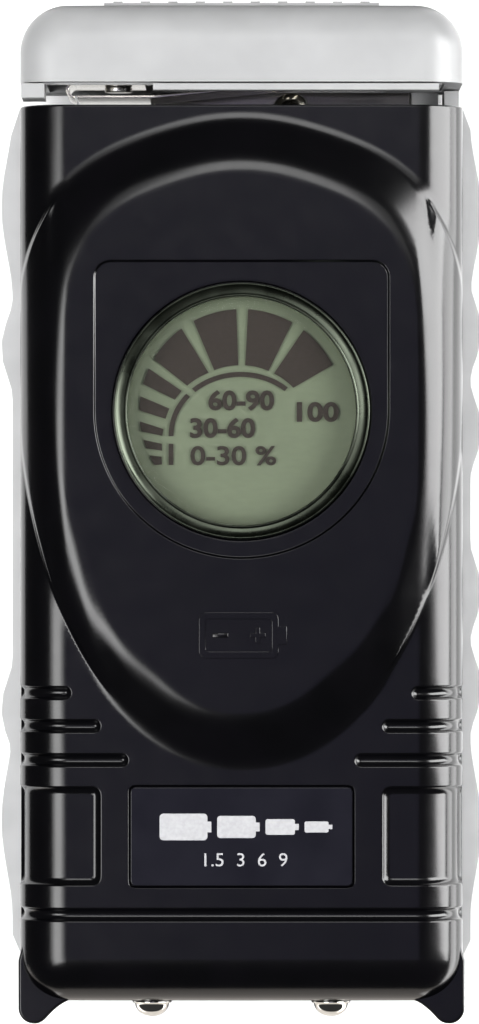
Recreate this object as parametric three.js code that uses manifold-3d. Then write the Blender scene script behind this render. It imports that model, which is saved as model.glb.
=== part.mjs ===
// Hand-held battery tester with a pull-out contact head.
//
// Millimetres. X runs across the body, Y along it with the sliding head at +Y, and Z comes out of the display face.
// The flat back lies on Z = 0 and the origin is the middle of the back, under the middle of the whole tester.
//
// Two bodies of shell (a black front with a raised field round the display, a silver back with finger waves) hold a
// chassis, a circuit board and a segment display. A flat stem slides in a channel in the back shell and carries the
// head. A cell stands on the pole contact, against the stem's metal plate, and presses the head's contact leaf.
// A block battery is held against the two dome contacts between the horns at the lower end.

import * as THREE from "three";
import { mergeVertices } from "three/addons/utils/BufferGeometryUtils.js";
import Module from "manifold-3d";

const wasm = await Module();
wasm.setup();

// ---------------------------------------------------------------------------------------------- driving dimensions
const WALL = 1.8; // moulded wall of both shells
const GAP = 0.3; // left between neighbouring pieces

const REAR_TOP_Z = 12.7; // seam side of the back shell
const SEAM_Z = 13; // seam side of the front shell
const FACE_Z = 22; // front shell's face
const FIELD_Z = 24.2; // raised field round the display
const RING_Z = 25; // top of the display's trim ring, the highest point

const HALF_WIDTH = 24.2; // front shell
const BODY_TOP = 44.2;
const BODY_BOTTOM = -53.2;
const HORN_TIP = -55.7;
const EDGE_RADIUS = 4; // along the front shell's long edges
const LOWER_EDGE_RADIUS = 5; // across the front shell's lower end

const WAVE_BASE = 25.2; // half width of the back shell between its finger waves
const WAVE_HEIGHT = 1.2;
const REAR_BOTTOM = -52.6;

const DISPLAY_Y = 10.9; // centre of the round display
const LENS_RADIUS = 12.3;
const RING_INNER = 12.4;
const RING_OUTER = 13.6;
const WINDOW_RADIUS = 13.9;

const STEM = { left: -9.8, right: 22.1, bottom: -38, top: 54, back: 2.1, front: 4.7 };
const RAIL_LEFT = 18.9; // the stem's raised silver rail runs from here to its right edge
const RAIL_FRONT = 7;
const PLATE_FRONT = 5; // metal plate on the stem
const STOP_FRONT = 6.5;

const CHASSIS_BACK = 7.5;
const CHASSIS_FRONT = 8.7;
const BOARD_BACK = 10.2;
const BOARD_FRONT = 11.8;

const HEAD = { halfWidth: 24.1, top: 55.15, bottom: 46.6, back: 0.3, front: 23.4, corner: 5.2 };
const HEAD_ROUND = { front: 4.2, back: 2 }; // radii of its long edges
const HEAD_WALL = 2;
const HEAD_UNDERSIDE = 46.4;
const PAD_TOP = 55.7;

const CELL_X = 5.5; // where a round cell's axis stands, across the body
const POLE_Z = 10; // height of the pole contact on the body's upper end
const BLOCK_CONTACT = { x: 9.8, z: 15.2, tip: -55.3, radius: 2.15 };
const SHELL_SCREWS = [
  [-19, -46],
  [19, -46],
  [-18, 37.5],
];

// ---------------------------------------------------------------------------------------------- solid helpers
function solid(geometry) {
  const bare = new THREE.BufferGeometry().setAttribute("position", geometry.getAttribute("position"));
  if (geometry.index) bare.setIndex(geometry.index);
  const merged = mergeVertices(bare, 1e-4);
  const mesh = new wasm.Mesh({
    numProp: 3,
    vertProperties: merged.attributes.position.array,
    triVerts: new Uint32Array(merged.index.array),
  });
  return new wasm.Manifold(mesh);
}

function geometryOf(manifold) {
  const mesh = manifold.simplify(0.004).getMesh();
  const positions = new Float32Array(mesh.numVert * 3);
  for (let i = 0; i < mesh.numVert; i++) {
    positions.set(mesh.vertProperties.subarray(i * mesh.numProp, i * mesh.numProp + 3), i * 3);
  }
  const geometry = new THREE.BufferGeometry();
  geometry.setAttribute("position", new THREE.BufferAttribute(positions, 3));
  geometry.setIndex(new THREE.BufferAttribute(mesh.triVerts, 1));
  geometry.computeVertexNormals();
  return geometry;
}

const join = (...solids) => solids.reduce((all, next) => all.add(next));
const cut = (body, ...tools) => tools.reduce((left, tool) => left.subtract(tool), body);

// A box between two corners.
function block([x0, x1], [y0, y1], [z0, z1]) {
  const box = new THREE.BoxGeometry(x1 - x0, y1 - y0, z1 - z0);
  return solid(box.translate((x0 + x1) / 2, (y0 + y1) / 2, (z0 + z1) / 2));
}

// A cylinder whose axis is parallel to X, Y or Z, between two places along it.
function rod(axis, [x, y, z], radius, [from, to], sides = 24) {
  const cylinder = new THREE.CylinderGeometry(radius, radius, to - from, sides);
  if (axis === "x") cylinder.rotateZ(Math.PI / 2).translate((from + to) / 2, y, z);
  if (axis === "y") cylinder.translate(x, (from + to) / 2, z);
  if (axis === "z") cylinder.rotateX(Math.PI / 2).translate(x, y, (from + to) / 2);
  return solid(cylinder);
}

// An XY outline made into a solid between two heights.
function extrudeZ(shape, from, to, curveSegments = 12) {
  const geometry = new THREE.ExtrudeGeometry(shape, { depth: to - from, bevelEnabled: false, curveSegments });
  return solid(geometry.translate(0, 0, from));
}

// An outline drawn as (x, z) made into a solid between two places along Y.
function extrudeY(shape, from, to, curveSegments = 12) {
  const geometry = new THREE.ExtrudeGeometry(shape, { depth: to - from, bevelEnabled: false, curveSegments });
  return solid(geometry.rotateX(Math.PI / 2).translate(0, to, 0));
}

// An outline drawn as (y, z) made into a solid between two places along X.
function extrudeX(shape, from, to, curveSegments = 12) {
  const geometry = new THREE.ExtrudeGeometry(shape, { depth: to - from, bevelEnabled: false, curveSegments });
  return solid(geometry.rotateY(Math.PI / 2).rotateX(Math.PI / 2).translate(from, 0, 0));
}

// A profile of (radius, height) points turned about Z, moved to (x, y).
function turned(profile, x, y, sides = 48) {
  const points = profile.map(([r, h]) => new THREE.Vector2(r, h));
  return solid(new THREE.LatheGeometry(points, sides).rotateX(Math.PI / 2).translate(x, y, 0));
}

function rectangle(x0, x1, y0, y1, radius = 0) {
  const shape = new THREE.Shape();
  if (radius === 0) {
    return shape.moveTo(x0, y0).lineTo(x1, y0).lineTo(x1, y1).lineTo(x0, y1).closePath();
  }
  shape.moveTo(x0 + radius, y0).lineTo(x1 - radius, y0);
  shape.absarc(x1 - radius, y0 + radius, radius, -Math.PI / 2, 0);
  shape.lineTo(x1, y1 - radius).absarc(x1 - radius, y1 - radius, radius, 0, Math.PI / 2);
  shape.lineTo(x0 + radius, y1).absarc(x0 + radius, y1 - radius, radius, Math.PI / 2, Math.PI);
  shape.lineTo(x0, y0 + radius).absarc(x0 + radius, y0 + radius, radius, Math.PI, Math.PI * 1.5);
  return shape;
}

// ---------------------------------------------------------------------------------------------- materials
const finish = (color, roughness, metalness = 0) => new THREE.MeshStandardMaterial({ color, roughness, metalness });
const blackPlastic = finish(0x1c1b20, 0.45);
const silverPlastic = finish(0xc6c7c9, 0.4);
const greyPlastic = finish(0x8b8c8e, 0.6);
const glossBlack = finish(0x08080a, 0.15);
const clearPlastic = finish(0xdfe8dc, 0.05);
const displayGreen = finish(0x93a084, 0.3);
const chrome = finish(0xd0d2cc, 0.15, 1);
const nickel = finish(0xc9c5b8, 0.25, 1);
const steel = finish(0xaaaaac, 0.35, 1);
const boardGreen = finish(0x1f5a36, 0.5);
const whitePlastic = finish(0xe6e6e0, 0.5);
const rubberGrey = finish(0x55565a, 0.8);
const chipBlack = finish(0x151515, 0.6);
const labelPaper = finish(0xd9dadb, 0.5);
const copper = finish(0xb0653a, 0.4, 1);

const tester = new THREE.Group();

function place(name, manifold, material) {
  const mesh = new THREE.Mesh(geometryOf(manifold), material);
  mesh.name = name;
  tester.add(mesh);
}

// ---------------------------------------------------------------------------------------------- front shell
// The raised field is egg-shaped in plan: a squarish arch over the display and a long elliptical lower end. It is a
// little wider than the shell, so its slope runs out over both flanks beside the display.
const FIELD = { halfWidth: 25, top: 43, widest: 18.5, bottom: -27.6, slope: 5.2, squareness: 2.3 };

function fieldOutline(inset) {
  const steps = 56;
  const w = FIELD.halfWidth - inset;
  const points = [];
  for (let i = 0; i < steps; i++) {
    const turn = (i / steps) * Math.PI * 2;
    const [c, s] = [Math.cos(turn), Math.sin(turn)];
    const power = s > 0 ? 2 / FIELD.squareness : 1;
    const reach = (s > 0 ? FIELD.top - FIELD.widest : FIELD.widest - FIELD.bottom) - inset;
    const x = w * Math.sign(c) * Math.abs(c) ** power;
    points.push(new THREE.Vector2(x, FIELD.widest + reach * Math.sign(s) * Math.abs(s) ** power));
  }
  return new THREE.Shape(points);
}

// Cross-section of the front shell seen along Y, with its two upper edges rounded.
function crossSection(halfWidth, top, radius) {
  const shape = new THREE.Shape();
  shape.moveTo(-halfWidth, SEAM_Z).lineTo(halfWidth, SEAM_Z).lineTo(halfWidth, top - radius);
  shape.absarc(halfWidth - radius, top - radius, radius, 0, Math.PI / 2);
  shape.lineTo(radius - halfWidth, top);
  shape.absarc(radius - halfWidth, top - radius, radius, Math.PI / 2, Math.PI);
  return shape;
}

// Long section of the front shell seen along X, square at the head end and rounded at the lower end.
function longSection() {
  const r = LOWER_EDGE_RADIUS;
  const shape = new THREE.Shape();
  shape.moveTo(BODY_TOP, SEAM_Z).lineTo(BODY_TOP, FACE_Z).lineTo(BODY_BOTTOM + r, FACE_Z);
  shape.absarc(BODY_BOTTOM + r, FACE_Z - r, r, Math.PI / 2, Math.PI);
  shape.lineTo(BODY_BOTTOM, SEAM_Z);
  return shape;
}

// One of the two horns that a block battery stands between. side is -1 or 1.
function horn(side) {
  const tipRadius = 1.7;
  const tipX = HALF_WIDTH - 0.1 - tipRadius;
  const shape = new THREE.Shape();
  shape.moveTo(tipX + tipRadius, -47).lineTo(18.8, -47).lineTo(18.8, BODY_BOTTOM + 0.1);
  shape.quadraticCurveTo(19.9, BODY_BOTTOM - 0.2, tipX - 1.3, HORN_TIP + 0.6);
  shape.absarc(tipX, HORN_TIP + tipRadius, tipRadius, Math.PI * 1.25, Math.PI * 2);
  const made = extrudeZ(shape, SEAM_Z, 18.5, 6);
  return side > 0 ? made : made.mirror([1, 0, 0]);
}

const GRIP_GROOVES = [
  [-19.7, 18.5],
  [-23.3, 15.3],
  [-27, 12.3],
]; // height along the body and inner end of each
const GROOVE_WIDTH = 1.45;
const GROOVE_DEPTH = 0.7;
const CROSS_GROOVE_Y = -43.6;
const SIDE_PANEL = { inner: 15.3, y: [-40.6, -29.9], depth: 0.5 };
const NAME_RECESS = { halfWidth: 12.3, y: [-40.9, -29.7], depth: 0.5 };
const INSET = { halfWidth: 16.1, top: 27.3, depth: 0.35 };

function displayInset() {
  const corner = 1.3;
  const shape = new THREE.Shape();
  shape.absarc(0, DISPLAY_Y, INSET.halfWidth, Math.PI, Math.PI * 2);
  shape.lineTo(INSET.halfWidth, INSET.top - corner);
  shape.absarc(INSET.halfWidth - corner, INSET.top - corner, corner, 0, Math.PI / 2);
  shape.lineTo(corner - INSET.halfWidth, INSET.top);
  shape.absarc(corner - INSET.halfWidth, INSET.top - corner, corner, Math.PI / 2, Math.PI);
  return extrudeZ(shape, FIELD_Z - INSET.depth, FIELD_Z + 1, 16);
}

// Grooves and panels are cut square across the face and down both flanks.
function faceCuts() {
  const cuts = [];
  const deep = FACE_Z - GROOVE_DEPTH;
  const half = GROOVE_WIDTH / 2;
  const outside = HALF_WIDTH + 1;
  const flank = HALF_WIDTH - GROOVE_DEPTH;
  for (const side of [-1, 1]) {
    const span = (a, b) => (side > 0 ? [a, b] : [-b, -a]);
    for (const [y, inner] of GRIP_GROOVES) {
      cuts.push(block(span(inner, outside), [y - half, y + half], [deep, FACE_Z + 1]));
      cuts.push(block(span(flank, outside), [y - half, y + half], [SEAM_Z + 1, FACE_Z]));
    }
    const panel = SIDE_PANEL;
    cuts.push(block(span(panel.inner, outside), panel.y, [FACE_Z - panel.depth, FACE_Z + 1]));
    cuts.push(block(span(HALF_WIDTH - panel.depth, outside), panel.y, [SEAM_Z + 1, FACE_Z]));
    cuts.push(block(span(flank, outside), [CROSS_GROOVE_Y - half, CROSS_GROOVE_Y + half], [SEAM_Z + 1, FACE_Z]));
  }
  cuts.push(block([-outside, outside], [CROSS_GROOVE_Y - half, CROSS_GROOVE_Y + half], [deep, FACE_Z + 1]));
  const name = NAME_RECESS;
  cuts.push(extrudeZ(rectangle(-name.halfWidth, name.halfWidth, ...name.y, 0.6), FACE_Z - name.depth, FACE_Z + 1, 3));
  return cuts;
}

function frontShell() {
  const lowerCorner = 4.4;
  const plan = rectangle(-HALF_WIDTH, HALF_WIDTH, BODY_BOTTOM, BODY_TOP + 6, lowerCorner);
  const base = extrudeY(crossSection(HALF_WIDTH, FACE_Z, EDGE_RADIUS), BODY_BOTTOM, BODY_TOP, 6)
    .intersect(extrudeZ(plan, SEAM_Z, FACE_Z, 6))
    .intersect(extrudeX(longSection(), -HALF_WIDTH, HALF_WIDTH, 6));

  const rise = FIELD_Z - FACE_Z;
  const bevel = {
    depth: 4,
    bevelEnabled: true,
    bevelThickness: rise,
    bevelSize: FIELD.slope,
    bevelSegments: 4,
  };
  const fieldGeometry = new THREE.ExtrudeGeometry(fieldOutline(FIELD.slope), bevel).translate(0, 0, FIELD_Z - rise - 4);
  const field = solid(fieldGeometry)
    .intersect(extrudeY(crossSection(HALF_WIDTH, FIELD_Z, EDGE_RADIUS), BODY_BOTTOM, BODY_TOP, 6))
    .intersect(block([-30, 30], [-30, BODY_TOP - 0.6], [FACE_Z - 3, RING_Z]));

  const outer = join(cut(join(base, field), ...faceCuts()), horn(-1), horn(1));

  const inside = HALF_WIDTH - WALL;
  const hollow = extrudeY(crossSection(inside, FACE_Z - WALL, EDGE_RADIUS - 1), BODY_BOTTOM + WALL, BODY_TOP - WALL, 4);
  const below = block([-inside, inside], [BODY_BOTTOM + WALL, BODY_TOP - WALL], [SEAM_Z - 1, SEAM_Z + 0.5]);
  const fieldHollow = extrudeZ(fieldOutline(FIELD.slope + 1.6), SEAM_Z + 1, FIELD_Z - WALL, 12);
  const framePocket = block([-16.9, 16.9], [DISPLAY_Y - 18.5, DISPLAY_Y + 18.5], [SEAM_Z + 1, 21.6]);
  const glassPocket = block([-14.9, 14.9], [DISPLAY_Y - 16.3, DISPLAY_Y + 16.3], [SEAM_Z + 1, 22.05]);
  const shell = cut(outer, hollow, below, fieldHollow, framePocket, glassPocket, displayInset());

  const bosses = SHELL_SCREWS.map(([x, y]) => rod("z", [x, y], 2.6, [SEAM_Z, FACE_Z - 1], 20));
  const pilots = SHELL_SCREWS.map(([x, y]) => rod("z", [x, y], 1.35, [SEAM_Z - 1, 18.6], 16));
  const window = turned([[0, 20], [WINDOW_RADIUS, 20], [WINDOW_RADIUS, FIELD_Z - INSET.depth - 0.4],
    [WINDOW_RADIUS + 0.6, FIELD_Z], [0, FIELD_Z]], 0, DISPLAY_Y, 64);
  const shanks = [-1, 1].map((side) =>
    rod("y", [side * BLOCK_CONTACT.x, 0, BLOCK_CONTACT.z], 1.3, [BODY_BOTTOM - 1, BODY_BOTTOM + 3], 16));
  return cut(join(shell, ...bosses), ...pilots, window, ...shanks);
}

place("front_shell", frontShell(), blackPlastic);

// ---------------------------------------------------------------------------------------------- back shell
// Finger waves: [centre, half length] of each swelling along the left and the right flank.
const LEFT_WAVES = [[33.5, 10], [18, 5.2], [-21.7, 5.2], [-34, 10.5]];
const RIGHT_WAVES = [[32.9, 9.5], [19.8, 5.2], [9, 5.2], [-8.8, 5.2], [-19.4, 5.2], [-34.6, 10]];

function waveWidth(waves, y) {
  const swell = waves.map(([centre, half]) => {
    const t = (y - centre) / half;
    return Math.abs(t) < 1 ? Math.cos((t * Math.PI) / 2) ** 2 : 0;
  });
  return WAVE_BASE + WAVE_HEIGHT * Math.max(...swell);
}

function rearOutline(inset) {
  const step = 1.5;
  const cornerX = 21;
  const cornerY = REAR_BOTTOM + 6;
  const shape = new THREE.Shape();
  shape.moveTo(-cornerX, REAR_BOTTOM + inset).lineTo(cornerX, REAR_BOTTOM + inset);
  for (let y = cornerY; y < BODY_TOP - 0.8; y += step) shape.lineTo(waveWidth(RIGHT_WAVES, y) - inset, y);
  shape.lineTo(WAVE_BASE - 0.6 - inset, BODY_TOP - inset).lineTo(0.6 + inset - WAVE_BASE, BODY_TOP - inset);
  for (let y = BODY_TOP - 1.7; y > cornerY - 0.1; y -= step) shape.lineTo(inset - waveWidth(LEFT_WAVES, y), y);
  return shape.closePath();
}

const SCREW = { headRadius: 2.4, headHeight: 1.5, headBack: 0.4, shankRadius: 1.2, tip: 18 };
const LABEL = { halfWidth: 17, y: [-30, 30] };

function rearShell() {
  const round = 2.4;
  const outerGeometry = new THREE.ExtrudeGeometry(rearOutline(round), {
    depth: REAR_TOP_Z - round,
    bevelEnabled: true,
    bevelThickness: round,
    bevelSize: round,
    bevelSegments: 3,
  }).translate(0, 0, round);
  const reach = WAVE_BASE + WAVE_HEIGHT - 0.02;
  const outer = solid(outerGeometry).intersect(block([-reach, reach], [-60, BODY_TOP], [0, REAR_TOP_Z]));
  const inside = HALF_WIDTH - 1;
  const hollow = block([-inside, inside], [REAR_BOTTOM + WALL, BODY_TOP - WALL], [WALL, REAR_TOP_Z + 1]);
  const channelGap = 0.3;
  const railSpan = [REAR_BOTTOM + WALL - 0.1, BODY_TOP - WALL + 0.1];
  const rails = [
    block([STEM.left - channelGap - 1.5, STEM.left - channelGap], railSpan, [WALL - 0.1, CHASSIS_BACK - 0.1]),
    block([STEM.right + channelGap, inside + 0.1], railSpan, [WALL - 0.1, CHASSIS_BACK - 0.1]),
  ];
  const posts = SHELL_SCREWS.map(([x, y]) => rod("z", [x, y], 3.6, [WALL - 0.1, REAR_TOP_Z], 24));
  const mouth = block([STEM.left - channelGap, STEM.right + channelGap], [BODY_TOP - WALL - 0.1, BODY_TOP + 1],
    [WALL, RAIL_FRONT + channelGap]);
  const poleHole = rod("y", [CELL_X, 0, POLE_Z], 1.3, [BODY_TOP - 3, BODY_TOP + 1], 16);
  const counterbores = SHELL_SCREWS.map(([x, y]) => rod("z", [x, y], SCREW.headRadius + 0.4, [-1, 2.2], 24));
  const shankHoles = SHELL_SCREWS.map(([x, y]) => rod("z", [x, y], SCREW.shankRadius + 0.4, [-1, REAR_TOP_Z + 1], 16));
  const labelRecess = extrudeZ(rectangle(-LABEL.halfWidth, LABEL.halfWidth, ...LABEL.y, 2), -1, 0.3, 4);
  return cut(join(cut(outer, hollow), ...rails, ...posts), mouth, poleHole, ...counterbores, ...shankHoles, labelRecess);
}

place("rear_shell", rearShell(), silverPlastic);

place("rear_label", extrudeZ(rectangle(-LABEL.halfWidth + 0.3, LABEL.halfWidth - 0.3, LABEL.y[0] + 0.3, LABEL.y[1] - 0.3, 1.8),
  0.08, 0.28, 4), labelPaper);

SHELL_SCREWS.forEach(([x, y], i) => {
  const head = rod("z", [x, y], SCREW.headRadius, [SCREW.headBack, SCREW.headBack + SCREW.headHeight]);
  const shank = rod("z", [x, y], SCREW.shankRadius, [SCREW.headBack + 1, SCREW.tip], 16);
  const slots = [
    block([x - 1.5, x + 1.5], [y - 0.3, y + 0.3], [SCREW.headBack - 1, SCREW.headBack + 0.9]),
    block([x - 0.3, x + 0.3], [y - 1.5, y + 1.5], [SCREW.headBack - 1, SCREW.headBack + 0.9]),
  ];
  place(`shell_screw_${i + 1}`, cut(join(head, shank), ...slots), steel);
});

// ---------------------------------------------------------------------------------------------- face fittings
place("name_plate", extrudeZ(rectangle(-NAME_RECESS.halfWidth + 0.3, NAME_RECESS.halfWidth - 0.3,
  NAME_RECESS.y[0] + 0.3, NAME_RECESS.y[1] - 0.3, 0.5), FACE_Z - 0.45, FACE_Z - 0.15, 3), glossBlack);

place("display_lens", turned([[0, 21.95], [15, 21.95], [15, 22.3], [LENS_RADIUS, 22.3], [LENS_RADIUS, 24.1],
  [LENS_RADIUS - 0.3, 24.4], [0, 24.4]], 0, DISPLAY_Y, 64), clearPlastic);

place("display_ring", turned([[RING_INNER, 22.7], [RING_OUTER, 22.7], [RING_OUTER, 24.5], [RING_OUTER - 0.4, RING_Z],
  [RING_OUTER - 0.7, RING_Z], [RING_INNER, 24.3], [RING_INNER, 22.7]], 0, DISPLAY_Y, 64), chrome);

// ---------------------------------------------------------------------------------------------- display stack
const GLASS = { halfWidth: 14.6, frontHalf: 16, rearHalf: 13.2 };
const GLASS_BACK = 19.5;
const GLASS_SEAM = 20.6;
const GLASS_FRONT = 21.7;
const around = (half) => [DISPLAY_Y - half, DISPLAY_Y + half];

place("display_front_glass", block([-GLASS.halfWidth, GLASS.halfWidth], around(GLASS.frontHalf), [GLASS_SEAM, GLASS_FRONT]),
  displayGreen);
place("display_rear_glass", block([-GLASS.halfWidth, GLASS.halfWidth], around(GLASS.rearHalf), [GLASS_BACK, GLASS_SEAM - 0.04]),
  displayGreen);
place("display_reflector", block([-14, 14], around(12.6), [19, GLASS_BACK - 0.1]), whitePlastic);

const displayFrame = cut(
  block([-16.6, 16.6], around(18.2), [BOARD_FRONT, GLASS_FRONT - 0.4]),
  block([-GLASS.halfWidth - 0.3, GLASS.halfWidth + 0.3], around(GLASS.frontHalf + 0.3), [GLASS_BACK - 0.7, GLASS_FRONT]),
  block([-13, 13], around(12), [BOARD_FRONT - 1, GLASS_FRONT]),
  block([-13, 13], [DISPLAY_Y + 13.3, DISPLAY_Y + 15.9], [BOARD_FRONT - 1, GLASS_FRONT]),
  block([-13, 13], [DISPLAY_Y - 15.9, DISPLAY_Y - 13.3], [BOARD_FRONT - 1, GLASS_FRONT]),
);
place("display_frame", displayFrame, whitePlastic);
place("zebra_strip_upper", block([-12.8, 12.8], [DISPLAY_Y + 13.6, DISPLAY_Y + 15.6], [BOARD_FRONT + 0.05, GLASS_SEAM - 0.05]),
  rubberGrey);
place("zebra_strip_lower", block([-12.8, 12.8], [DISPLAY_Y - 15.6, DISPLAY_Y - 13.6], [BOARD_FRONT + 0.05, GLASS_SEAM - 0.05]),
  rubberGrey);

// ---------------------------------------------------------------------------------------------- chassis and board
const BOARD = { halfWidth: 20.5, bottom: -40, top: 32, neckTop: 41 };
const BOARD_SCREWS = [[-17.5, -36], [17.5, -36], [17.5, 37.5]];
const WIPER_SPAN = { x: [1.5, 9.5], y: [29, 40] };

function chassis() {
  const deck = cut(
    block([-22.6, 22.9], [-42, 41], [CHASSIS_BACK, CHASSIS_FRONT]),
    block([-24, -13.5], [32.5, 43], [CHASSIS_BACK - 1, CHASSIS_FRONT + 1]),
    block(WIPER_SPAN.x, WIPER_SPAN.y, [CHASSIS_BACK - 1, CHASSIS_FRONT + 1]),
  );
  const runners = [[-8.4, -7], [15.4, 16.8]].map((x) => block(x, [-42, 41], [PLATE_FRONT + 0.25, CHASSIS_BACK + 0.1]));
  const stop = block([-4.4, 4.4], [27, 28.6], [PLATE_FRONT + 0.25, CHASSIS_BACK + 0.1]);
  const seats = BOARD_SCREWS.map(([x, y]) => rod("z", [x, y], 2.2, [CHASSIS_FRONT - 0.1, BOARD_BACK - 0.05], 16));
  const pilots = BOARD_SCREWS.map(([x, y]) => rod("z", [x, y], 0.95, [CHASSIS_BACK - 1, BOARD_BACK + 1], 12));
  return cut(join(deck, ...runners, stop, ...seats), ...pilots);
}
place("chassis", chassis(), greyPlastic);

function mainBoard() {
  const wide = block([-BOARD.halfWidth, BOARD.halfWidth], [BOARD.bottom, BOARD.top], [BOARD_BACK, BOARD_FRONT]);
  const neck = block([-8, BOARD.halfWidth], [BOARD.top - 0.1, BOARD.neckTop], [BOARD_BACK, BOARD_FRONT]);
  const holes = BOARD_SCREWS.map(([x, y]) => rod("z", [x, y], 1.3, [BOARD_BACK - 1, BOARD_FRONT + 1], 16));
  return cut(join(wide, neck), ...holes);
}
place("main_board", mainBoard(), boardGreen);

BOARD_SCREWS.forEach(([x, y], i) => {
  const head = rod("z", [x, y], 1.9, [BOARD_FRONT + 0.05, BOARD_FRONT + 1.3], 16);
  const shank = rod("z", [x, y], 0.85, [CHASSIS_BACK + 0.3, BOARD_FRONT + 1], 12);
  place(`board_screw_${i + 1}`, join(head, shank), steel);
});

place("controller_chip", block([-12, -4], [-24, -16], [BOARD_FRONT + 0.05, BOARD_FRONT + 1.5]), chipBlack);

// An axial resistor lying across the board on two bent leads.
function loadResistor(x, y) {
  const height = BOARD_FRONT + 2.6;
  const body = rod("x", [0, y, height], 2, [x - 4.5, x + 4.5], 20);
  const lead = rod("x", [0, y, height], 0.35, [x - 6.2, x + 6.2], 8);
  const legs = [-1, 1].map((side) => rod("z", [x + side * 6, y], 0.35, [BOARD_FRONT + 0.05, height + 0.3], 8));
  return join(body, lead, ...legs);
}
place("load_resistor_1", loadResistor(-2, -29.5), whitePlastic);
place("load_resistor_2", loadResistor(-2, -35), whitePlastic);
place("capacitor", rod("z", [11, -19], 3.2, [BOARD_FRONT + 0.05, BOARD_FRONT + 6.5], 24), glossBlack);
place("protection_diode", rod("x", [0, -13, BOARD_FRONT + 1.3], 1.2, [8, 13.5], 16), chipBlack);

// ---------------------------------------------------------------------------------------------- fixed contacts
// A dome turned about Y: a rounded head outside the wall, a shank through it and a rivet head inside.
function domeContact(x, z, wallOutside, tip, radius, outward) {
  const height = Math.abs(tip - wallOutside) - 0.05;
  const profile = [[0, height]];
  for (let i = 1; i <= 5; i++) {
    const turn = (i / 6) * (Math.PI / 2);
    profile.push([radius * Math.sin(turn), height * Math.cos(turn)]);
  }
  profile.push([radius, 0], [1.15, 0], [1.15, -WALL - 0.15], [2, -WALL - 0.15], [2, -WALL - 0.7], [0, -WALL - 0.7]);
  const points = profile.reverse().map(([r, h]) => new THREE.Vector2(r, h));
  const geometry = new THREE.LatheGeometry(points, 28);
  if (outward < 0) geometry.rotateX(Math.PI);
  return solid(geometry.translate(x, wallOutside + outward * 0.05, z));
}

for (const [name, side] of [["block_contact_left", -1], ["block_contact_right", 1]]) {
  const { x, z, tip, radius } = BLOCK_CONTACT;
  const dome = domeContact(side * x, z, BODY_BOTTOM, tip, radius, -1);
  const inner = BODY_BOTTOM + WALL + 0.6;
  const riser = block([side * x - 1.6, side * x + 1.6], [inner, inner + 0.4], [BOARD_FRONT + 0.05, z + 1.5]);
  const foot = block([side * x - 1.6, side * x + 1.6], [inner, -37.5], [BOARD_FRONT + 0.05, BOARD_FRONT + 0.4]);
  place(name, join(dome, riser, foot), nickel);
}

function poleContact() {
  const dome = domeContact(CELL_X, POLE_Z, BODY_TOP, BODY_TOP + 2, 2.3, 1);
  const inner = BODY_TOP - WALL - 0.6;
  const riser = block([CELL_X - 1.6, CELL_X + 1.6], [inner - 0.4, inner], [POLE_Z - 1.5, BOARD_FRONT + 0.4]);
  const foot = block([CELL_X - 1.6, CELL_X + 1.6], [37.5, inner], [BOARD_FRONT + 0.05, BOARD_FRONT + 0.4]);
  return join(dome, riser, foot);
}
place("pole_contact", poleContact(), nickel);

// A strip bent down from the board's underside through the chassis until it rides on the stem's metal plate.
function stemWiper() {
  const shape = new THREE.Shape();
  shape.moveTo(30, BOARD_BACK - 0.05).lineTo(30, BOARD_BACK - 0.4).lineTo(33, BOARD_BACK - 0.4);
  shape.lineTo(35.4, PLATE_FRONT + 0.15).lineTo(37, PLATE_FRONT + 0.15).lineTo(38.6, PLATE_FRONT + 1.2);
  shape.lineTo(38.4, PLATE_FRONT + 1.5).lineTo(36.8, PLATE_FRONT + 0.5).lineTo(35.7, PLATE_FRONT + 0.5);
  shape.lineTo(33.3, BOARD_BACK - 0.05);
  return extrudeX(shape.closePath(), 2.5, 8.5);
}
place("stem_wiper", stemWiper(), copper);

// ---------------------------------------------------------------------------------------------- sliding stem
function sliderStem() {
  const plate = block([STEM.left, STEM.right], [STEM.bottom, STEM.top], [STEM.back, STEM.front]);
  const rail = block([RAIL_LEFT, STEM.right], [STEM.bottom, STEM.top - 4], [STEM.front - 0.1, RAIL_FRONT]);
  const stop = block([-4, 4], [STEM.bottom, STEM.bottom + 2.6], [STEM.front - 0.1, STOP_FRONT]);
  const screwHoles = HEAD_SCREWS.map(([x, y]) => rod("z", [x, y], 1.5, [0, STEM.front + 1], 16));
  const insideCover = extrudeZ(headPlan(HEAD_WALL + 0.3, STEM.bottom - 1), 0, 10, 8);
  return cut(join(plate, rail, stop).intersect(insideCover), ...screwHoles);
}
const HEAD_SCREWS = [[-2, 50.7], [13, 50.7]];
place("slider_stem", sliderStem(), silverPlastic);

// Sheet-metal plate against which the cell stands. It is stamped with a shallow tongue at its lower end.
place("stem_contact_plate", block([STEM.left + 0.2, RAIL_LEFT - 0.2], [-34, 49], [STEM.front + 0.02, PLATE_FRONT]), nickel);

// ---------------------------------------------------------------------------------------------- head
function headPlan(inset, bottom) {
  const w = HEAD.halfWidth - inset;
  const top = HEAD.top - inset;
  const r = HEAD.corner - inset / 2;
  const shape = new THREE.Shape();
  shape.moveTo(-w, bottom).lineTo(w, bottom).lineTo(w, top - r);
  shape.absarc(w - r, top - r, r, 0, Math.PI / 2);
  shape.lineTo(r - w, top);
  shape.absarc(r - w, top - r, r, Math.PI / 2, Math.PI);
  return shape;
}

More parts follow.
